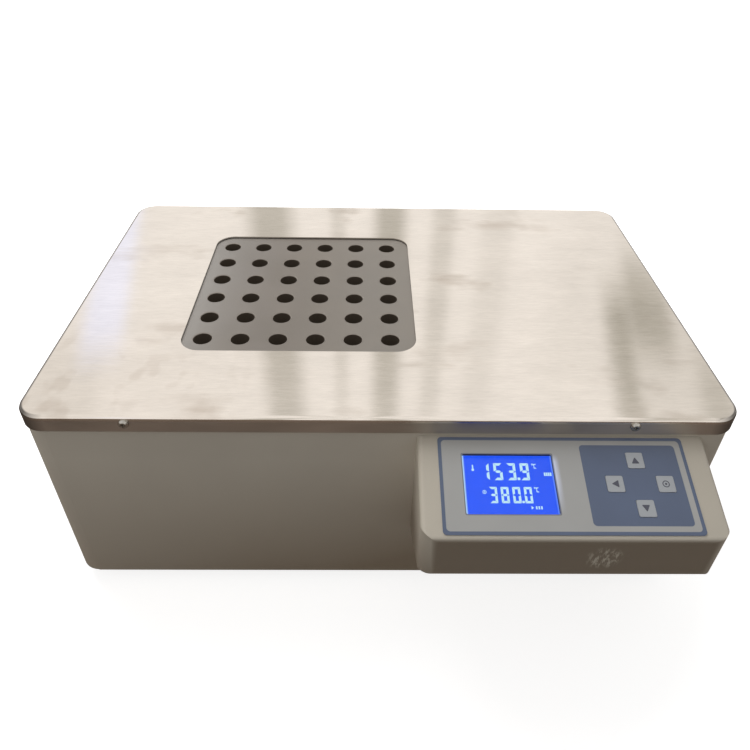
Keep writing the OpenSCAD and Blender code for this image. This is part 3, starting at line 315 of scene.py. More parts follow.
class DIGESTER_PG_display(bpy.types.PropertyGroup):
    """What the display shows, and how."""

    upper: StringProperty(name="Upper reading", description="Measured temperature",
                          default="153.9")
    lower: StringProperty(name="Lower reading", description="Set temperature",
                          default="380.0")
    back: colour_property("Backlight", "Ground of the display", (28, 86, 252))
    lit: colour_property("Figures", "Lit figures and marks", (205, 246, 255))
    glow: FloatProperty(name="Glow", description="Strength of the backlight",
                        default=1.0, min=0.0)
    left: length_property("Left", "Picture's left edge from the box's left edge", 33.3)
    top: length_property("Top", "Picture's upper edge down the slope", 16.5)
    width: length_property("Width", "Width of the picture", 68.5)
    height: length_property("Height", "Height of the picture", 47.5)
    deep: length_property("Depth", "Picture below the slope", 3.39)


class DIGESTER_PG_stage(bpy.types.PropertyGroup):
    """Camera, lamps and surroundings."""

    eye: FloatVectorProperty(name="Eye", description="Place of the camera", size=3,
                             subtype="TRANSLATION", unit="LENGTH",
                             default=(-0.012162, -0.508435, 0.554603))
    turn: FloatVectorProperty(name="Turn", description="Rotation of the camera", size=3,
                              subtype="EULER",
                              default=tuple(math.radians(a)
                                            for a in (52.32428, -0.89168, -0.47805)))
    lens: FloatProperty(name="Lens", description="Focal length", default=31.6613,
                        unit="CAMERA")
    shift: FloatVectorProperty(name="Shift", description="Of the picture's middle", size=2,
                               default=(-0.0017, -0.0309))
    soft: FloatProperty(name="Soft light", description="Light from the surroundings",
                        default=0.29, min=0.0)
    key_lamp: FloatProperty(name="Key lamp", description="Power of the lamp above and behind",
                            default=19.0, min=0.0, unit="POWER")
    fill_lamp: FloatProperty(name="Fill lamp", description="Power of the lamp in front",
                             default=2.4, min=0.0, unit="POWER")


def chosen(group):
    """One group's sizes and colours, as they stand in the scene."""
    return getattr(bpy.context.scene, "digester_" + group)


# ---------- finishes ----------

# The cover's painted dark reflection along its sides, from its outline, and on its skirt, from
# its top: where the tone changes, and how soft the step is.
COVER_CORNER = 20 * MM
SIDE_LINE, SIDE_STEP = 2.8 * MM, 1.2 * MM
SIDE_FROM, SIDE_FULL = 24 * MM, 8 * MM
SKIRT_LINE, SKIRT_STEP = 3.4 * MM, 3.0 * MM
# The corner that hands touch most: it ends between these distances from the left and front.
TOUCHED_ACROSS, TOUCHED_BACK = (60 * MM, 220 * MM), (50 * MM, 150 * MM)


def brushed_cover(name):
    """Stainless sheet with a straight grain along x and finger marks, with a painted dark
    reflection on the skirt and along the sides.
    """
    m = chosen("metal")
    r = Recipe(name)
    fine = r.noise(r.place((90.0, 620.0, 620.0)), 1.0, 4.0, 0.7)
    streaks = r.noise(r.place((30.0, 150.0, 150.0)), 1.0, 3.0, 0.6)
    cloud = r.noise(r.place((14.0, 22.0, 22.0)), 1.0, 3.0, 0.6)
    grain = fine * 0.4 + streaks * 0.25 + cloud * 0.35
    tint = r.tones(grain.between(0.36, 0.64), m.cover, 0.91, 1.06)
    spots = r.noise(r.place((11.0, 15.0, 15.0)), 1.0, 3.0, 0.6).between(0.56, 0.70)
    wiped = r.noise(r.place((5.0, 60.0, 60.0), (0, 0, 0.5)), 1.0, 2.0, 0.5)
    marks = spots * wiped.between(0.38, 0.62)
    tint = r.mix(marks * 0.6, tint, m.smudge)
    x, y, z = r.axes(r.place())
    across, back = x - COVER_LOW.x, y - COVER_LOW.y
    touched = (1.0 - across.between(*TOUCHED_ACROSS)) * (1.0 - back.between(*TOUCHED_BACK))
    fingers = r.noise(r.place((36.0, 26.0, 26.0)), 1.0, 2.0, 0.5).between(0.55, 0.62)
    tint = r.mix(touched * (fingers * 0.24 + 0.10), tint, m.smudge)
    # Painted dark reflection: below the bend the skirt takes a darker colour, varied by a random
    # stain.
    skirt = z.below(COVER_HIGH.z - SKIRT_LINE, SKIRT_STEP)
    size = COVER_HIGH - COVER_LOW
    outline = rounded_area(across, back, 0.0, 0.0, size.x, size.y, COVER_CORNER)
    beside = abs(across - size.x / 2).between(size.x / 2 - SIDE_FROM, size.x / 2 - SIDE_FULL)
    # Painted dark reflection: a dark line just inside the outline, along the left and right
    # sides.
    side = (1.0 - outline.below(-SIDE_LINE, SIDE_STEP)) * beside
    stain = r.noise(r.place((9.0, 9.0, 30.0)), 1.0, 3.0, 0.5).between(0.35, 0.7)
    stained_skirt_reflection = r.tones(stain, m.skirt, 0.80, 1.15)
    tint = r.mix(skirt * 0.95, tint, stained_skirt_reflection)
    tint = r.mix(side * 0.95, tint, shade(m.skirt, 0.16))
    rough = 0.07 + (grain - 0.5) * 0.12 + marks * 0.12 + skirt * 0.36
    return r.surface(base_color=tint, metallic=1.0, roughness=rough.clamped(),
                     normal=r.bump(streaks, 0.15, 0.0002))


def brushed_metal(name, colour, roughness=0.3, stretch=(6.0, 400.0, 400.0)):
    """Drawn, milled or extruded metal: a grain that is long one way and short the others."""
    r = Recipe(name)
    grain = r.noise(r.place(stretch), 1.0, 4.0, 0.65)
    tint = r.tones(grain.between(0.3, 0.7), colour, 0.88, 1.07)
    return r.surface(base_color=tint, metallic=1.0, roughness=roughness + (grain - 0.5) * 0.2,
                     normal=r.bump(grain, 0.15, 0.0002))


# How far below the block's face the painted highlight on a well's rim ends and the painted shade
# in the well begins.
RIM_HIGHLIGHT_LINE, RIM_HIGHLIGHT_STEP = 0.1 * MM, 0.1 * MM
WELL_SHADE_LINE, WELL_SHADE_STEP = 1.1 * MM, 0.5 * MM
# Painted shade in the wells, as a share of the block's colour, and a faint painted glow there.
WELL_SHADE, PAINTED_WELL_GLOW = (0.30, 0.26, 0.22), (0.012, 0.0095, 0.007)


def matt_block(name):
    """Blasted metal with painted light making it paler to the left and right, a painted
    highlight on the wells' rims, and painted shade with a faint painted glow in the wells.
    """
    colour = chosen("metal").block
    r = Recipe(name)
    at = r.place()
    speck = r.noise(at, 2600.0, 2.0, 0.6)
    cloud = r.noise(at, 16.0, 3.0, 0.55)
    x, y, z = r.axes(at)
    across = x.between(BLOCK_LOW.x, BLOCK_HIGH.x)
    # Bluer towards the left and warmer towards the right, varied by a random cloud.
    tone_across = across * 0.6 + r.noise(at, 11.0, 2.0, 0.5) * 0.8 - 0.2
    tint = r.mix(tone_across.clamped(), dimmed(colour, 0.99, 1.01, 1.09),
                 dimmed(colour, 1.02, 0.98, 0.90))
    tint = r.mix(cloud.between(0.40, 0.62) * 0.5, tint, shade(colour, 0.88))
    tint = r.mix(speck.between(0.3, 0.7) * 0.16, tint, shade(colour, 1.35))
    # Painted light: the block is painted paler towards its left edge and a little over its right
    # part.
    left = 1.0 - across.between(0.0, 0.4)
    lit = left * left * 0.9 + across.between(0.45, 0.8) * 0.28
    tint = r.mix(lit.clamped(), tint, dimmed(colour, 1.50, 1.60, 1.72))
    # Painted highlight: the wells' rims are painted paler than the block.
    rim = z.below(BLOCK_HIGH.z - RIM_HIGHLIGHT_LINE, RIM_HIGHLIGHT_STEP)
    # Painted shade: the wells are painted dark below their rims.
    well_shade = z.below(BLOCK_HIGH.z - WELL_SHADE_LINE, WELL_SHADE_STEP)
    tint = r.mix(rim * 0.8, tint, shade(colour, 1.8))
    tint = r.mix(well_shade * 0.96, tint, dimmed(colour, *WELL_SHADE))
    return r.surface(base_color=tint, metallic=0.45, roughness=0.46 + (cloud - 0.5) * 0.14,
                     # Painted glow: the wells give off a faint light of their own.
                     emission_color=r.mix(well_shade, BLACK, PAINTED_WELL_GLOW), emission_strength=1.0,
                     normal=r.bump(speck, 0.10, 0.0001))


# Painted shade: the case is painted darker low down and, in front, next to the control box.
CASE_SHADED, CASE_SHADE = 150 * MM, (0.50, 0.44, 0.38)
CASE_FRONT, CASE_FRONT_STEP = 25 * MM, 20 * MM


def powder_coat(name):
    """Baked coat with a fine orange peel, with painted shade towards the bench and next to the
    control box.
    """
    colour = chosen("metal").coat
    r = Recipe(name)
    at = r.place()
    peel = r.noise(at, 900.0, 2.0, 0.5)
    cloud = r.noise(at, 7.0, 3.0, 0.5)
    tint = r.tones(cloud.between(0.3, 0.7), colour, 0.95, 1.04)
    tint = r.mix(peel.between(0.35, 0.65) * 0.10, tint, shade(colour, 0.8))
    x, y, z = r.axes(at)
    # Painted shade low down, and the control box's painted shadow in front beside it, varied by
    # a random cloud.
    low = 1.0 - z.between(CASE_LOW.z, CASE_LOW.z + CASE_SHADED)
    box_shadow = x.between(CASE_LOW.x, BOX_LOW.x) * y.below(CASE_LOW.y + CASE_FRONT,
                                                          CASE_FRONT_STEP)
    dark = low * (0.40 + box_shadow * 0.54 + cloud * 0.4)
    tint = r.mix(dark.clamped(), tint, dimmed(colour, *CASE_SHADE))
    return r.surface(base_color=tint, roughness=0.46 + (cloud - 0.5) * 0.12,
                     normal=r.bump(peel, 0.18, 0.00012))


def sheet_metal(name, colour, roughness=0.36, spangle=60.0):
    """Plated or rolled sheet with a soft spangle."""
    r = Recipe(name)
    at = r.place()
    cell = r.node("TexVoronoi", {"feature": "F1"}, {"Vector": at, "Scale": spangle})
    cloud = r.noise(at, 30.0, 3.0, 0.6)
    tone = cell * 0.5 + cloud * 0.6
    tint = r.tones(tone.between(0.2, 0.8), colour, 0.84, 1.08)
    return r.surface(base_color=tint, metallic=1.0, roughness=roughness + (cloud - 0.5) * 0.2,
                     normal=r.bump(cloud, 0.05, 0.0002))


def turned_metal(name, colour, roughness=0.24):
    """Small plated hardware with faint scuffs."""
    r = Recipe(name)
    scuff = r.noise(r.place(), 1500.0, 3.0, 0.7)
    tint = r.tones(scuff.between(0.35, 0.7), colour, 0.86, 1.08)
    return r.surface(base_color=tint, metallic=1.0, roughness=roughness + (scuff - 0.5) * 0.24,
                     normal=r.bump(scuff, 0.06, 0.0001))


def moulded(name, colour, roughness=0.45, texture=1400.0, depth=0.14, gloss=0.0):
    """Moulded plastic, rubber or ceramic with a fine spark texture."""
    r = Recipe(name)
    at = r.place()
    speck = r.noise(at, texture, 2.0, 0.55)
    cloud = r.noise(at, 20.0, 2.0, 0.5)
    tint = r.tones(cloud.between(0.3, 0.7), colour, 0.95, 1.05)
    tint = r.mix(speck.between(0.3, 0.7) * 0.12, tint, shade(colour, 0.85))
    return r.surface(base_color=tint, roughness=roughness + (cloud - 0.5) * 0.10,
                     coat_weight=gloss, coat_roughness=0.15,
                     normal=r.bump(speck, depth, 0.0001))


# The control box has painted shade in front and low down, and is rubbed at one place in front:
# its left, top, width, height and corner radius, seen from the front.
BOX_FRONT, BOX_FRONT_STEP = 0.7 * MM, 1.3 * MM
BOX_SHADED = (30 * MM, 82 * MM)
BOX_SHADE = (0.42, 0.37, 0.335)
RUBBED_PLACE = (121 * MM, 34 * MM, 27 * MM, 24 * MM, 11 * MM)
RUBBED_LINE, RUBBED_STEP = 2 * MM, 6 * MM


def box_shell(name):
    """The control box's moulding: spark texture, painted shade on its front and lower part, and
    a rubbed patch on the front.
    """
    colour = chosen("plastic").shell
    r = Recipe(name)
    at = r.place()
    speck = r.noise(at, 1400.0, 2.0, 0.55)
    cloud = r.noise(at, 9.0, 3.0, 0.5)
    tint = r.tones(cloud.between(0.3, 0.7), colour, 0.95, 1.04)
    tint = r.mix(speck.between(0.3, 0.7) * 0.10, tint, shade(colour, 0.85))
    x, y, z = r.axes(at)
    # Painted shade: the front face and the lower part of the box are painted darker.
    front = y.below(BOX_LOW.y + BOX_FRONT, BOX_FRONT_STEP)
    low = 1.0 - (z - BOX_LOW.z).between(*BOX_SHADED)
    tint = r.mix(front.at_least(low) * 0.9, tint, dimmed(colour, *BOX_SHADE))
    spot = rounded_area(x - BOX_LOW.x, BOX_HIGH.z - z, *RUBBED_PLACE)
    flecks = r.noise(r.place((1.7, 1.0, 0.6), (0, 0.5, 0)), 250.0, 5.0, 0.75).between(0.49, 0.56)
    rubbed = spot.below(-RUBBED_LINE, RUBBED_STEP) * flecks * front
    tint = r.mix(rubbed * 0.9, tint, shade(colour, 1.1))
    return r.surface(base_color=tint, roughness=0.42 + (cloud - 0.5) * 0.10 + rubbed * 0.2,
                     normal=r.bump(speck, 0.12, 0.0001))


def fibre_board(name, colour):
    """Mineral-fibre board: felted strands with darker flecks."""
    r = Recipe(name)
    strands = r.noise(r.place((1, 1, 3)), 220.0, 6.0, 0.75)
    flecks = r.noise(r.place(), 480.0, 2.0, 0.5).between(0.62, 0.72)
    tint = r.tones(strands.between(0.3, 0.7), colour, 0.82, 1.06)
    tint = r.mix(flecks * 0.5, tint, shade(colour, 0.5))
    return r.surface(base_color=tint, roughness=0.92, normal=r.bump(strands, 0.5, 0.0008))


def circuit_board(name, colour):
    """Solder resist over copper tracks: straight runs show through as a lighter green."""
    r = Recipe(name)
    at = r.place()
    runs = r.node("TexBrick", {"offset": 0.4}, {
        "Vector": at, "Scale": 90.0, "Mortar Size": 0.06, "Mortar Smooth": 0.3,
        "Color1": BLACK, "Color2": (0.35, 0.35, 0.35), "Mortar": WHITE}, "Fac")
    cloud = r.noise(at, 40.0, 2.0, 0.5)
    tint = r.tones(runs * 0.6, colour, 0.75, 1.8)
    return r.surface(base_color=tint, roughness=0.22 + cloud * 0.16,
                     normal=r.bump(runs, 0.2, 0.00005))


def wound_tape(name, colour):
    """Transformer tape in even turns over a varnished core."""
    r = Recipe(name)
    at = r.place()
    turns = r.node("TexWave", {"bands_direction": "Z"}, {
        "Vector": at, "Scale": 160.0, "Distortion": 0.6}, "Fac")
    cloud = r.noise(at, 90.0, 3.0, 0.6)
    tint = r.tones(turns * 0.5 + cloud * 0.3, colour, 0.7, 1.1)
    return r.surface(base_color=tint, roughness=0.34 + cloud * 0.12,
                     normal=r.bump(turns, 0.3, 0.0002))


# How much red, green and blue the clear pieces let through.
CLEAR_WINDOW, FUSE_GLASS = (0.96, 0.98, 1.0), (0.85, 0.88, 0.9)


def clear_sheet(name, colour):
    """Clear acrylic or glass: lets light through, with a faint haze of fine scratches."""
    r = Recipe(name)
    haze = r.noise(r.place((1, 9, 1)), 260.0, 3.0, 0.7)
    clear = r.node("BsdfTransparent", None, {"Color": colour})
    gloss = r.node("BsdfPrincipled", None, {
        "Base Color": (0.02, 0.02, 0.02), "Roughness": 0.06 + haze * 0.06})
    edge = r.node("Fresnel", None, {"IOR": 1.45})
    return r.close(r.node("MixShader", None, {0: edge * 0.7 + 0.01, 1: clear, 2: gloss}))


# The display's opening: its corners, the lit strip at its left, the paler rim inside it, the
# dark line outside it, and the painted glow of a pale haze at its right.
OPENING_CORNER = 0.5 * MM
STRIP_LINE, STRIP_STEP = 1.6 * MM, 1.2 * MM
GLOW_LINE, GLOW_STEP = 0.6 * MM, 0.7 * MM
DARK_LINE, DARK_HALF, DARK_STEP = 0.35 * MM, 0.4 * MM, 0.4 * MM
PAINTED_HAZE_LINE, PAINTED_HAZE_STEP, PAINTED_HAZE_BELOW = 3 * MM, 4 * MM, 6 * MM
PAINTED_HAZE_LIGHT = (0.22, 0.25, 0.38)


def backlight(name):
    """The display's lit ground, paler where the lamp sits along its left edge."""
    d = chosen("display")
    r = Recipe(name)
    across, down = slope_place(r)
    strip = across.below(d.left + STRIP_LINE, STRIP_STEP)
    edge = rounded_area(across, down, d.left, d.top - MM, d.width, d.height + MM,
                        OPENING_CORNER)
    cloud = r.noise(r.place(), 45.0, 2.0, 0.5)
    tint = r.tones(cloud.between(0.2, 0.8), d.back, 0.92, 1.04)
    rim = 1.0 - edge.below(-GLOW_LINE, GLOW_STEP)
    tint = r.mix((strip * 0.75).at_least(rim * 0.2), tint, d.lit)
    return r.surface(base_color=(0.01, 0.02, 0.05), roughness=0.3, emission_color=tint,
                     emission_strength=d.glow)


def lit_figures(name):
    """Figures that let the lamp's light through, a little uneven."""
    d = chosen("display")
    r = Recipe(name)
    cloud = r.noise(r.place(), 120.0, 2.0, 0.5)
    tint = r.tones(cloud.between(0.2, 0.8), d.lit, 0.88, 1.0)
    return r.surface(base_color=(0.02, 0.02, 0.03), roughness=0.3, emission_color=tint,
                     emission_strength=d.glow)


def printed_film(name):
    """The overlay: plain ground, printed border and key field, and at the display's opening a
    dark line and a painted glow to the right of it."""
    o, p, d = chosen("overlay"), chosen("plastic"), chosen("display")
    r = Recipe(name)
    across, down = slope_place(r)
    inner = rounded_area(across, down, o.left + o.border, o.top + o.border,
                         o.width - 2 * o.border, o.height - 2 * o.border, o.corner)
    field = rounded_area(across, down, o.field_left, o.field_top,
                         o.field_width, o.field_height, o.corner)
    soft = 0.3 * MM
    printed = (1.0 - inner.below(0.0, soft)).at_least(field.below(0.0, soft))
    emboss = r.noise(r.place(), 2200.0, 2.0, 0.5)
    cloud = r.noise(r.place(), 25.0, 2.0, 0.5)
    ground = r.tones(cloud.between(0.3, 0.7), p.film, 0.97, 1.03)
    ink = r.tones(cloud.between(0.3, 0.7), p.print_blue, 0.95, 1.05)
    tint = r.mix(printed, ground, ink)
    opening = rounded_area(across, down, d.left, d.top, d.width, d.height, OPENING_CORNER)
    line = abs(opening - DARK_LINE).below(DARK_HALF, DARK_STEP)
    tint = r.mix(line * 0.7, tint, shade(p.print_blue, 0.6))
    beside = across - (d.left + d.width)
    # Painted glow: the film gives off a pale light just right of the display's opening, in its
    # upper part.
    painted_haze = (beside.between(0.0, MM) * beside.below(PAINTED_HAZE_LINE, PAINTED_HAZE_STEP)
            * down.between(d.top, d.top + PAINTED_HAZE_BELOW)
            * (1.0 - down.between(d.top + d.height * 0.45, d.top + d.height)))
    return r.surface(base_color=tint, roughness=0.36 + (cloud - 0.5) * 0.08 - printed * 0.04,
                     emission_color=r.mix(painted_haze, BLACK, PAINTED_HAZE_LIGHT), emission_strength=d.glow,
                     normal=r.bump(emboss, 0.10, 0.00006))


# ---------- shapes ----------

# Thickness of the flat marks on the display, and on the keys and the mains switch, in
# millimetres.
PICTURE_THICK, MARK_THICK = 0.08, 0.06


def dress(material, *nodes):
    """Gives CAD nodes their finish."""
    for node in nodes:
        mesh = NODES[node].data
        mesh.materials.clear()
        mesh.materials.append(material)


def add_marks(name, outlines, thickness, material, place, body="housing"):
    """Puts flat raised marks into the scene, riding on a body."""
    mesh = plates(name, outlines, thickness)
    mesh.materials.append(material)
    obj = bpy.data.objects.new(name, mesh)
    bpy.context.scene.collection.objects.link(obj)
    obj.matrix_world = place
    bpy.context.view_layer.update()
    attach(obj, body)


def plates(name, outlines, thickness):
    """A mesh of flat plates on z = 0, each a closed outline of (x, y) points, all in
    millimetres."""
    mesh = bpy.data.meshes.new(name)
    bm = bmesh.new()
    for outline in outlines:
        low = [bm.verts.new((x * MM, y * MM, 0.0)) for x, y in outline]
        high = [bm.verts.new((x * MM, y * MM, thickness * MM)) for x, y in outline]
        bm.faces.new(list(reversed(low)))
        bm.faces.new(high)
        for i in range(len(outline)):
            j = (i + 1) % len(outline)
            bm.faces.new((low[i], low[j], high[j], high[i]))
    bmesh.ops.recalc_face_normals(bm, faces=bm.faces)
    bm.to_mesh(mesh)
    bm.free()
    return mesh


def arc(cx, cy, radius, start, stop, steps):
    """Points round part of a circle, angles in degrees."""
    angles = [math.radians(start + (stop - start) * i / steps) for i in range(steps + 1)]
    return [(cx + radius * math.cos(a), cy + radius * math.sin(a)) for a in angles]


def rounded_outline(cx, cy, width, height, radius):
    """A rounded rectangle's outline, anticlockwise."""
    points = []
    for sx, sy, start in ((1, 1, 0), (-1, 1, 90), (-1, -1, 180), (1, -1, 270)):
        points += arc(cx + sx * (width / 2 - radius), cy + sy * (height / 2 - radius),
                      radius, start, start + 90, 5)
    return points


def ring_outlines(cx, cy, outer, inner, parts):
    """A ring as short plates side by side."""
    step = 360.0 / parts
    return [arc(cx, cy, outer, i * step, (i + 1) * step, 1)
            + arc(cx, cy, inner, (i + 1) * step, i * step, 1) for i in range(parts)]


def disc_outline(cx, cy, radius, steps=16):
    return arc(cx, cy, radius, 0, 360, steps)[:-1]


def rounded_wedge(width, height, radius):
    """A triangle that points up, its corners rounded."""
    foot, side = radius - height / 2, width / 2 - radius * 1.7
    points = []
    for x, y, start in ((0.0, height / 2 - 2 * radius, 30), (-side, foot, 150),
                        (side, foot, 270)):
        points += arc(x, y, radius, start, start + 120, 4)
    return points


# ---------- the display's picture ----------

# Strokes of a figure: a top, b and c right, d foot, e and f left, g middle.
STROKES = {"0": "abcdef", "1": "bc", "2": "abged", "3": "abgcd", "4": "fgbc", "5": "afgcd",
           "6": "afgedc", "7": "abc", "8": "abcdefg", "9": "abcdfg", "C": "adef"}
# How far the picture's own corner lies right of and above the opening's.
PICTURE_RIGHT, PICTURE_UP = 0.8 * MM, 1.5 * MM


def stroke_outline(stroke, left, top, width, height, thick):
    """One stroke of a figure, mitred at the corners, with y up and the figure's top at -top."""
    half, gap = thick / 2, thick * 0.08
    right, high, low = left + width, -top, -top - height
    middle = (high + low) / 2
    if stroke == "g":
        x0, x1 = left + half + gap, right - half - gap
        return [(x0, middle), (x0 + half, middle - half), (x1 - half, middle - half),
                (x1, middle), (x1 - half, middle + half), (x0 + half, middle + half)]
    if stroke in "ad":
        outer, inner = (high, high - thick) if stroke == "a" else (low, low + thick)
        return [(left + gap, outer), (right - gap, outer),
                (right - gap - thick, inner), (left + gap + thick, inner)]
    outer, inner = (left, left + thick) if stroke in "ef" else (right, right - thick)
    end, way = (high, -1) if stroke in "bf" else (low, 1)
    return [(outer, end + way * gap), (inner, end + way * (gap + thick)),
            (inner, middle - way * (gap + half)), (outer, middle - way * gap)]


def figure_outlines(text, right, top, width, height, pitch, thick):
    """A reading set to the right: its strokes, and a square for the decimal point."""
    outlines = []
    figures = text.replace(".", "")
    for i, figure in enumerate(figures):
        left = right - (len(figures) - 1 - i) * pitch - width
        outlines += [stroke_outline(s, left, top, width, height, thick)
                     for s in STROKES.get(figure, "")]
    if "." in text:
        after = len(figures) - text.index(".")
        x = right - after * pitch + (pitch - width) / 2
        outlines.append(rounded_outline(x, thick * 0.55 - top - height, thick, thick,
                                        thick * 0.2))
    return outlines


def degree_outlines(left, top):
    """The mark for degrees Celsius."""
    ring = ring_outlines(left + 0.7, -top - 0.7, outer=0.75, inner=0.35, parts=12)
    return ring + [stroke_outline(s, left + 1.6, top + 0.3, width=2.2, height=3.8, thick=0.65)
                   for s in STROKES["C"]]


def picture_outlines():
    """Everything that is lit on the display, in millimetres from the picture's corner."""
    d = chosen("display")
    outlines = figure_outlines(d.upper, right=49.9, top=7.2, width=6.6, height=13.8,
                               pitch=10.07, thick=2.05)
    outlines += figure_outlines(d.lower, right=50.0, top=26.4, width=5.9, height=12.7,
                                pitch=8.65, thick=1.8)
    outlines += degree_outlines(52.3, 7.4) + degree_outlines(51.8, 26.4)
    # a bulb thermometer beside the upper reading and a target beside the lower one
    outlines.append(rounded_outline(7.4, -10.2, 1.0, 3.2, 0.45))
    outlines.append(disc_outline(7.4, -12.6, 1.05))
    outlines += ring_outlines(14.6, -30.4, outer=1.5, inner=1.05, parts=20)
    outlines.append(disc_outline(14.6, -30.4, 0.5, 12))
    # a row of level bars at the right, with gaps between them
    outlines += [rounded_outline(61.5 + i * 1.5, -16.1, 1.15, 2.8, 0.3) for i in range(4)]
    # the running mark: a small wedge and three short bars
    outlines.append([(48.0, -41.1), (49.7, -42.5), (48.0, -43.9)])
    outlines += [rounded_outline(51.8 + i * 1.9, -42.5, 1.1, 2.4, 0.2) for i in range(3)]
    return outlines


# ---------- light and surroundings ----------

# The lamps: place, width and colour. Both look at the object's middle.
MIDDLE = (0.0, 0.0, 0.12)
KEY_PLACE, KEY_WIDTH, KEY_TINT = (-0.5, 0.9, 1.5), 1.4, (1.0, 0.985, 0.965)
FILL_PLACE, FILL_WIDTH, FILL_TINT = (-1.5, -0.9, 1.1), 1.2, (1.0, 0.97, 0.94)
EVEN_TINT = (1.0, 0.98, 0.96)

# Metal mirrors upright light panels. Gaps between the far ones, by the mirrored direction's
# x over y: place, half width and depth. Steep directions see them weaker.
GAPS = [(-0.156, 0.034, 0.62), (-0.046, 0.012, 0.34), (0.039, 0.024, 0.68),
        (0.126, 0.018, 0.34), (0.216, 0.026, 0.16), (0.400, 0.075, 0.09)]
STEEP, STEEP_LOSS = (0.58, 0.68), 0.22
# Gaps at the sides, by its x over a root of its height, which also end at a height: place,
# half width, depth, lowest and highest. The cool panel has no depth.
SIDE_GAPS = [(0.425, 0.017, 0.62, 0.50, 1.0), (0.478, 0.030, 0.50, 0.45, 0.56),
             (0.500, 0.070, 0.26, 0.48, 1.0), (0.570, 0.040, 0.34, 0.54, 1.0),
             (-0.520, 0.090, 0.14, 0.54, 1.0)]
COOL_PANEL = (-0.436, 0.030, 0.37, 0.57)
PANEL_LIGHT = 1.17
WARM_TINT, GAP_TINT, COOL_TINT = (0.99, 0.955, 0.915), (0.38, 0.36, 0.30), (1.02, 1.05, 1.22)

# The floor: its paint and the paint's grain, the colour of light that bounces off it, what
# metal mirrors of it, and its own light near the object and further out, where it is white.
FLOOR_PAINT, FLOOR_GRAIN = (0.7, 0.7, 0.7), (0.65, 0.65, 0.65)
FLOOR_BOUNCE, FLOOR_MIRRORED = (0.30, 0.285, 0.26), (0.224, 0.172, 0.136)
FLOOR_NEAR, FLOOR_FAR = 0.34, 0.62
FLOOR_GLOW, FLOOR_WHITE = (0.8, 0.8, 0.8), (1.2, 1.2, 1.2)
FLOOR_STEPS = (-12.0, -4.0, -1.5, -0.5, 0.0, 0.5, 1.5, 4.0, 12.0)


def softbox(name, place, size, tint, power):
    """A square area lamp that looks at the object and isn't seen or mirrored itself."""
    lamp = bpy.data.lights.new(name, "AREA")
    lamp.shape = "SQUARE"
    lamp.size = size
    lamp.energy = power
    lamp.color = tint
    obj = bpy.data.objects.new(name, lamp)
    bpy.context.scene.collection.objects.link(obj)
    obj.location = place
    obj.rotation_euler = (Vector(MIDDLE) - Vector(place)).to_track_quat("-Z", "Y").to_euler()
    obj.visible_camera = False
    obj.visible_glossy = False


def ray_kinds(r):
    """1 for a ray that is seen, by the camera or through glass, and 1 for a mirrored one."""
    camera, glossy, through = [r.node("LightPath", output="Is %s Ray" % kind)
                               for kind in ("Camera", "Glossy", "Transmission")]
    return camera.at_least(through), glossy


def panel(across, height, centre, half, low, high):
    """1 within half of centre and from low to high, with soft edges."""
    tall = height.between(low - 0.03, low + 0.03) * height.below(high, 0.05)
    return abs(across - centre).below(half, 0.02) * tall


def surroundings():
    """A soft even light; metal mirrors upright panels with gaps, and the camera sees white."""
    r = Recipe("surroundings", bpy.data.worlds.new("surroundings"))
    x, y, z = r.axes(r.node("TexCoord", output="Generated"))
    height = abs(z)
    # a little is added to what divides, because it may be 0
    far, near = x / (abs(y) + 0.02), x / (height + 0.02) ** 0.3
    gaps = 0.0
    for centre, half, depth in GAPS:
        gaps = gaps + abs(far - centre).below(half, half * 0.9) * depth
    gaps = gaps * (1.0 - height.between(*STEEP) * STEEP_LOSS)
    for centre, half, depth, low, high in SIDE_GAPS:
        gaps = gaps + panel(near, height, centre, half, low, high) * depth
    warm = r.mix(gaps, WARM_TINT, GAP_TINT)
    panels = r.mix(panel(near, height, *COOL_PANEL), warm, COOL_TINT)
    visible, glossy = ray_kinds(r)
    shown = r.node("Background", None, {
        "Color": r.mix(glossy, WHITE, panels), "Strength": PANEL_LIGHT})
    even = r.node("Background", None, {"Color": EVEN_TINT, "Strength": chosen("stage").soft})
    return r.close(r.node("MixShader", None, {
        0: visible.at_least(glossy), 1: even, 2: shown}), "OutputWorld")


def floor_finish():
    """A pale matt floor that goes over to white further out and keeps the soft shadow."""
    r = Recipe("pale_floor")
    x, y, z = r.axes(r.place())
    far = ((x ** 2.0 + y ** 2.0) ** 0.5).between(FLOOR_NEAR, FLOOR_FAR)
    grain = r.noise(r.place(), 900.0, 2.0, 0.5)
    visible, glossy = ray_kinds(r)
    bounced = r.mix(glossy, FLOOR_BOUNCE, BLACK)
    painted = r.mix(visible, bounced, r.mix(grain * 0.1, FLOOR_PAINT, FLOOR_GRAIN))
    glow = r.mix(visible, BLACK, r.mix(far, FLOOR_GLOW, FLOOR_WHITE))
    return r.close(r.node("BsdfPrincipled", None, {
        "Base Color": painted, "Roughness": 1.0, "Specular IOR Level": 0.0,
        "Emission Color": r.mix(glossy, glow, FLOOR_MIRRORED), "Emission Strength": 1.0}))


def floor_mesh():
    """A wide sheet, finer near the object."""
    mesh = bpy.data.meshes.new("floor")
    bm = bmesh.new()
    grid = [[bm.verts.new((x, y, 0.0)) for x in FLOOR_STEPS] for y in FLOOR_STEPS]
    for front, back in zip(grid, grid[1:]):
        for i in range(len(FLOOR_STEPS) - 1):
            bm.faces.new((front[i], front[i + 1], back[i + 1], back[i]))
    bm.to_mesh(mesh)
    bm.free()
    return mesh


# ---------- operators ----------

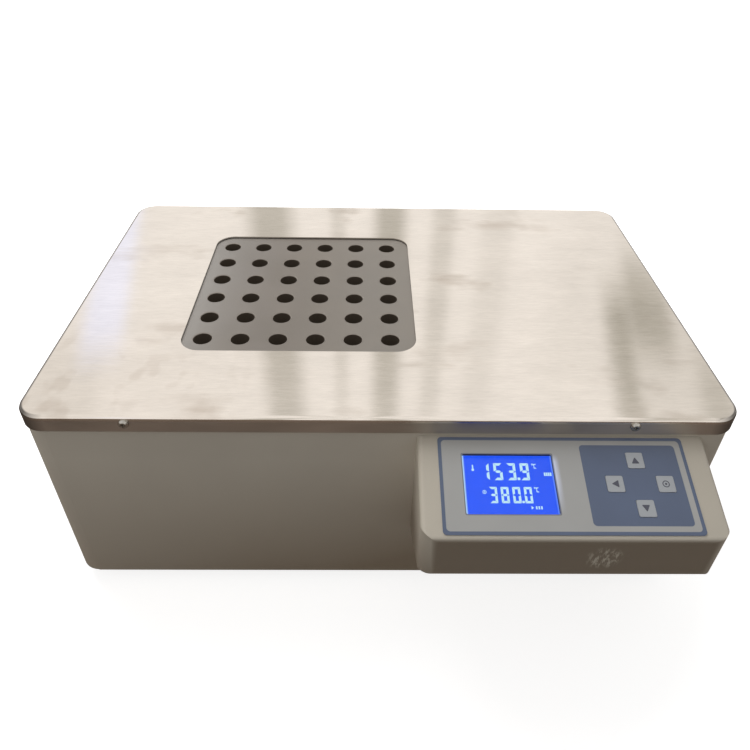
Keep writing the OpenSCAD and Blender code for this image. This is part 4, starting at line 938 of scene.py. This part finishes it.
class DIGESTER_OT_cover(bpy.types.Operator):
    """Dresses the brushed steel cover and its screws"""

    bl_idname = "digester.cover"
    bl_label = "Cover"

    def execute(self, context):
        dress(brushed_cover("brushed_cover"), "top_cover")
        dress(turned_metal("zinc_screw", chosen("metal").screw),
              "cover_screws", "rear_panel_screws", "base_screws", "foot_screws",
              "control_box_screws", "display_board_screws", "fan_screws", "inlet_screws",
              "liner_spacers")
        return {"FINISHED"}


class DIGESTER_OT_block(bpy.types.Operator):
    """Dresses the heated block, its heaters and what is clamped to them"""

    bl_idname = "digester.block"
    bl_label = "Heated block"

    def execute(self, context):
        f = chosen("fittings")
        dress(matt_block("block_alloy"), "heating_block")
        dress(brushed_metal("milled_plate", f.plate, 0.34), "heater_plate")
        dress(turned_metal("black_oxide", f.oxide, 0.4), "block_bolts")
        dress(brushed_metal("drawn_sheath", f.sheath), "cartridge_heaters",
              "temperature_probe")
        dress(moulded("steatite", f.steatite, 0.6, texture=700.0, depth=0.2),
              "heater_terminals", "block_posts")
        dress(moulded("phenolic", f.phenolic, 0.4, texture=900.0, depth=0.12, gloss=0.2),
              "limit_thermostat")
        return {"FINISHED"}


class DIGESTER_OT_insulation(bpy.types.Operator):
    """Dresses the insulation, its liner and the heat shield"""

    bl_idname = "digester.insulation"
    bl_label = "Insulation"

    def execute(self, context):
        dress(fibre_board("fibre_board", chosen("fittings").fibre),
              "insulation_base", "insulation_walls")
        dress(sheet_metal("zinc_sheet", chosen("metal").zinc),
              "insulation_liner", "heat_shield", "base_plate")
        return {"FINISHED"}


class DIGESTER_OT_case(bpy.types.Operator):
    """Dresses the painted case and its feet"""

    bl_idname = "digester.case"
    bl_label = "Case"

    def execute(self, context):
        dress(powder_coat("powder_coat"), "case_wrap", "rear_panel")
        dress(moulded("foot_rubber", chosen("fittings").rubber, 0.75, texture=800.0, depth=0.25),
              "feet")
        return {"FINISHED"}


class DIGESTER_OT_control_box(bpy.types.Operator):
    """Dresses the control box, its printed overlay and the window"""

    bl_idname = "digester.control_box"
    bl_label = "Control box"

    def execute(self, context):
        dress(box_shell("box_shell"), "control_box")
        dress(printed_film("printed_film"), "keypad_overlay")
        dress(clear_sheet("clear_window", CLEAR_WINDOW), "display_window")
        return {"FINISHED"}


class DIGESTER_OT_display(bpy.types.Operator):
    """Lights the display and lays its figures and marks on it"""

    bl_idname = "digester.display"
    bl_label = "Display"

    def execute(self, context):
        d, f = chosen("display"), chosen("fittings")
        dress(backlight("backlight"), "lcd_module")
        dress(sheet_metal("bezel_tin", f.bezel, 0.4, 90.0), "lcd_bezel")
        dress(circuit_board("board_green", f.board), "display_board", "power_board")
        corner = Matrix.Translation((d.left + PICTURE_RIGHT, PICTURE_UP - d.top, -d.deep))
        add_marks("display_figures", picture_outlines(), PICTURE_THICK,
                  lit_figures("lit_figures"), SLOPE @ corner)
        return {"FINISHED"}


class DIGESTER_OT_keys(bpy.types.Operator):
    """Dresses the four keys and lays a symbol on each"""

    bl_idname = "digester.keys"
    bl_label = "Keys"

    def execute(self, context):
        o = chosen("overlay")
        dress(moulded("key_cap", chosen("plastic").key, 0.38, texture=1800.0, depth=0.08),
              "key_up", "key_down", "key_left", "key_set")
        dress(moulded("switch_black", chosen("fittings").switch, 0.4), "tact_switches")
        ink = moulded("key_ink", chosen("plastic").symbol, texture=1800.0, depth=0.05)
        wedge = [rounded_wedge(width=6.0, height=5.3, radius=0.4)]
        target = ring_outlines(0, 0, outer=2.7, inner=2.0, parts=32)
        target.append(disc_outline(0, 0, 0.85))
        for name, body, right, up, turn, outlines in (
                ("mark_up", "up_key", 0, 1, 0, wedge),
                ("mark_down", "down_key", 0, -1, 180, wedge),
                ("mark_left", "left_key", -1, 0, 90, wedge),
                ("mark_set", "set_key", 1, 0, 0, target)):
            middle = Matrix.Translation((o.keys_x + right * o.reach,
                                         up * o.reach - o.keys_down, o.key_face))
            place = SLOPE @ middle @ Matrix.Rotation(math.radians(turn), 4, "Z")
            add_marks(name, outlines, MARK_THICK, ink, place, body)
        return {"FINISHED"}


class DIGESTER_OT_electronics(bpy.types.Operator):
    """Dresses the boards' parts, the relay with its sink and the cable"""

    bl_idname = "digester.electronics"
    bl_label = "Electronics"

    def execute(self, context):
        f = chosen("fittings")
        dress(moulded("cable_grey", f.cable, 0.5, texture=500.0, depth=0.1), "ribbon_cable")
        dress(moulded("nylon", f.nylon, 0.42, texture=900.0, depth=0.08),
              "board_standoffs", "terminal_block")
        dress(wound_tape("wound_tape", f.tape), "transformer")
        dress(moulded("component_black", f.component, 0.34, texture=1200.0, depth=0.06,
                      gloss=0.2), "board_parts")
        dress(moulded("relay_white", f.relay, 0.4, texture=900.0, depth=0.08),
              "solid_state_relay")
        dress(brushed_metal("extruded_alloy", f.sink, 0.36, (400.0, 6.0, 400.0)),
              "relay_heat_sink")
        return {"FINISHED"}


# The mains switch's face from its pin, in its rest pose: out of the rear and out to the middle
# of a half, and how far a half leans from the face.
ROCKER_REST = math.radians(10.0)
ROCKER_OUT, ROCKER_HALF = 3.92 * MM, 3.4 * MM
ROCKER_LEAN = math.atan2(1.4, 6.8)


class DIGESTER_OT_rear(bpy.types.Operator):
    """Dresses the fan, its guard and the mains inlet, and marks the rocker"""

    bl_idname = "digester.rear"
    bl_label = "Rear fittings"

    def execute(self, context):
        f = chosen("fittings")
        dress(moulded("fan_black", f.fan, 0.42, texture=1000.0, depth=0.1),
              "fan_frame", "fan_rotor")
        dress(turned_metal("guard_chrome", f.guard, 0.18), "fan_guard")
        dress(moulded("inlet_black", f.inlet, 0.36, texture=1000.0, depth=0.08, gloss=0.1),
              "inlet_body", "fuse_drawer")
        dress(turned_metal("pin_brass", f.brass, 0.26), "inlet_pins")
        dress(clear_sheet("fuse_glass", FUSE_GLASS), "fuses")
        dress(moulded("rocker_red", f.rocker, 0.32, texture=1000.0, depth=0.05, gloss=0.3),
              "rocker")
        paint = moulded("mark_white", f.paint, 0.4, texture=1500.0, depth=0.05)
        pivot = Matrix.Translation(JOINTS["rocker_pivot"]["pos_m"])
        for name, side, outlines in (
                ("mark_on", 1, [rounded_outline(0, 0, 0.7, 3.4, 0.3)]),
                ("mark_off", -1, ring_outlines(0, 0, outer=1.75, inner=1.15, parts=28))):
            # z of the mark's own frame looks out of the rear, across the switch's half
            face = (Matrix.Rotation(ROCKER_REST, 4, "X")
                    @ Matrix.Translation((0, ROCKER_OUT, side * ROCKER_HALF))
                    @ Matrix.Rotation(-side * ROCKER_LEAN, 4, "X")
                    @ Matrix.Rotation(math.radians(-90.0), 4, "X"))
            add_marks(name, outlines, MARK_THICK, paint, pivot @ face,
                      "power_rocker")
        return {"FINISHED"}


class DIGESTER_OT_stage(bpy.types.Operator):
    """Sets up the camera, the lamps, the surroundings and the floor"""

    bl_idname = "digester.stage"
    bl_label = "Stage"

    def execute(self, context):
        s = chosen("stage")
        scene = context.scene
        lens = bpy.data.cameras.new("camera")
        lens.sensor_fit = "HORIZONTAL"
        lens.sensor_width = 36.0
        lens.lens = s.lens
        lens.shift_x, lens.shift_y = s.shift
        lens.clip_start, lens.clip_end = 0.01, 60.0
        camera = bpy.data.objects.new("camera", lens)
        scene.collection.objects.link(camera)
        camera.location = s.eye
        camera.rotation_euler = s.turn
        scene.camera = camera
        scene.view_settings.view_transform = "Standard"
        softbox("key_lamp", KEY_PLACE, KEY_WIDTH, KEY_TINT, s.key_lamp)
        softbox("fill_lamp", FILL_PLACE, FILL_WIDTH, FILL_TINT, s.fill_lamp)
        scene.world = surroundings()
        floor = bpy.data.objects.new("floor", floor_mesh())
        floor.data.materials.append(floor_finish())
        scene.collection.objects.link(floor)
        return {"FINISHED"}


class DIGESTER_PT_panel(bpy.types.Panel):
    """Lists the digester's pieces and their colours"""

    bl_idname = "DIGESTER_PT_panel"
    bl_label = "Block digester"
    bl_space_type = "VIEW_3D"
    bl_region_type = "UI"
    bl_category = "Digester"

    def draw(self, context):
        layout = self.layout
        for operator in OPERATORS:
            layout.operator(operator.bl_idname)
        for name, group in GROUPS.items():
            box = layout.box()
            box.label(text=name.title())
            for key in group.__annotations__:
                box.prop(chosen(name), key)


GROUPS = {"metal": DIGESTER_PG_metal, "plastic": DIGESTER_PG_plastic,
          "fittings": DIGESTER_PG_fittings, "overlay": DIGESTER_PG_overlay,
          "display": DIGESTER_PG_display, "stage": DIGESTER_PG_stage}
OPERATORS = (DIGESTER_OT_stage, DIGESTER_OT_cover, DIGESTER_OT_block, DIGESTER_OT_insulation,
             DIGESTER_OT_case, DIGESTER_OT_control_box, DIGESTER_OT_display, DIGESTER_OT_keys,
             DIGESTER_OT_electronics, DIGESTER_OT_rear)
CLASSES = (*GROUPS.values(), *OPERATORS, DIGESTER_PT_panel)


def register():
    for cls in CLASSES:
        bpy.utils.register_class(cls)
    for name, group in GROUPS.items():
        setattr(bpy.types.Scene, "digester_" + name, PointerProperty(type=group))


def unregister():
    for name in GROUPS:
        delattr(bpy.types.Scene, "digester_" + name)
    for cls in reversed(CLASSES):
        bpy.utils.unregister_class(cls)


def main():
    register()
    bpy.ops.digester.stage()
    bpy.ops.digester.cover()
    bpy.ops.digester.block()
    bpy.ops.digester.insulation()
    bpy.ops.digester.case()
    bpy.ops.digester.control_box()
    bpy.ops.digester.display()
    bpy.ops.digester.keys()
    bpy.ops.digester.electronics()
    bpy.ops.digester.rear()


if __name__ == "__main__":
    main()
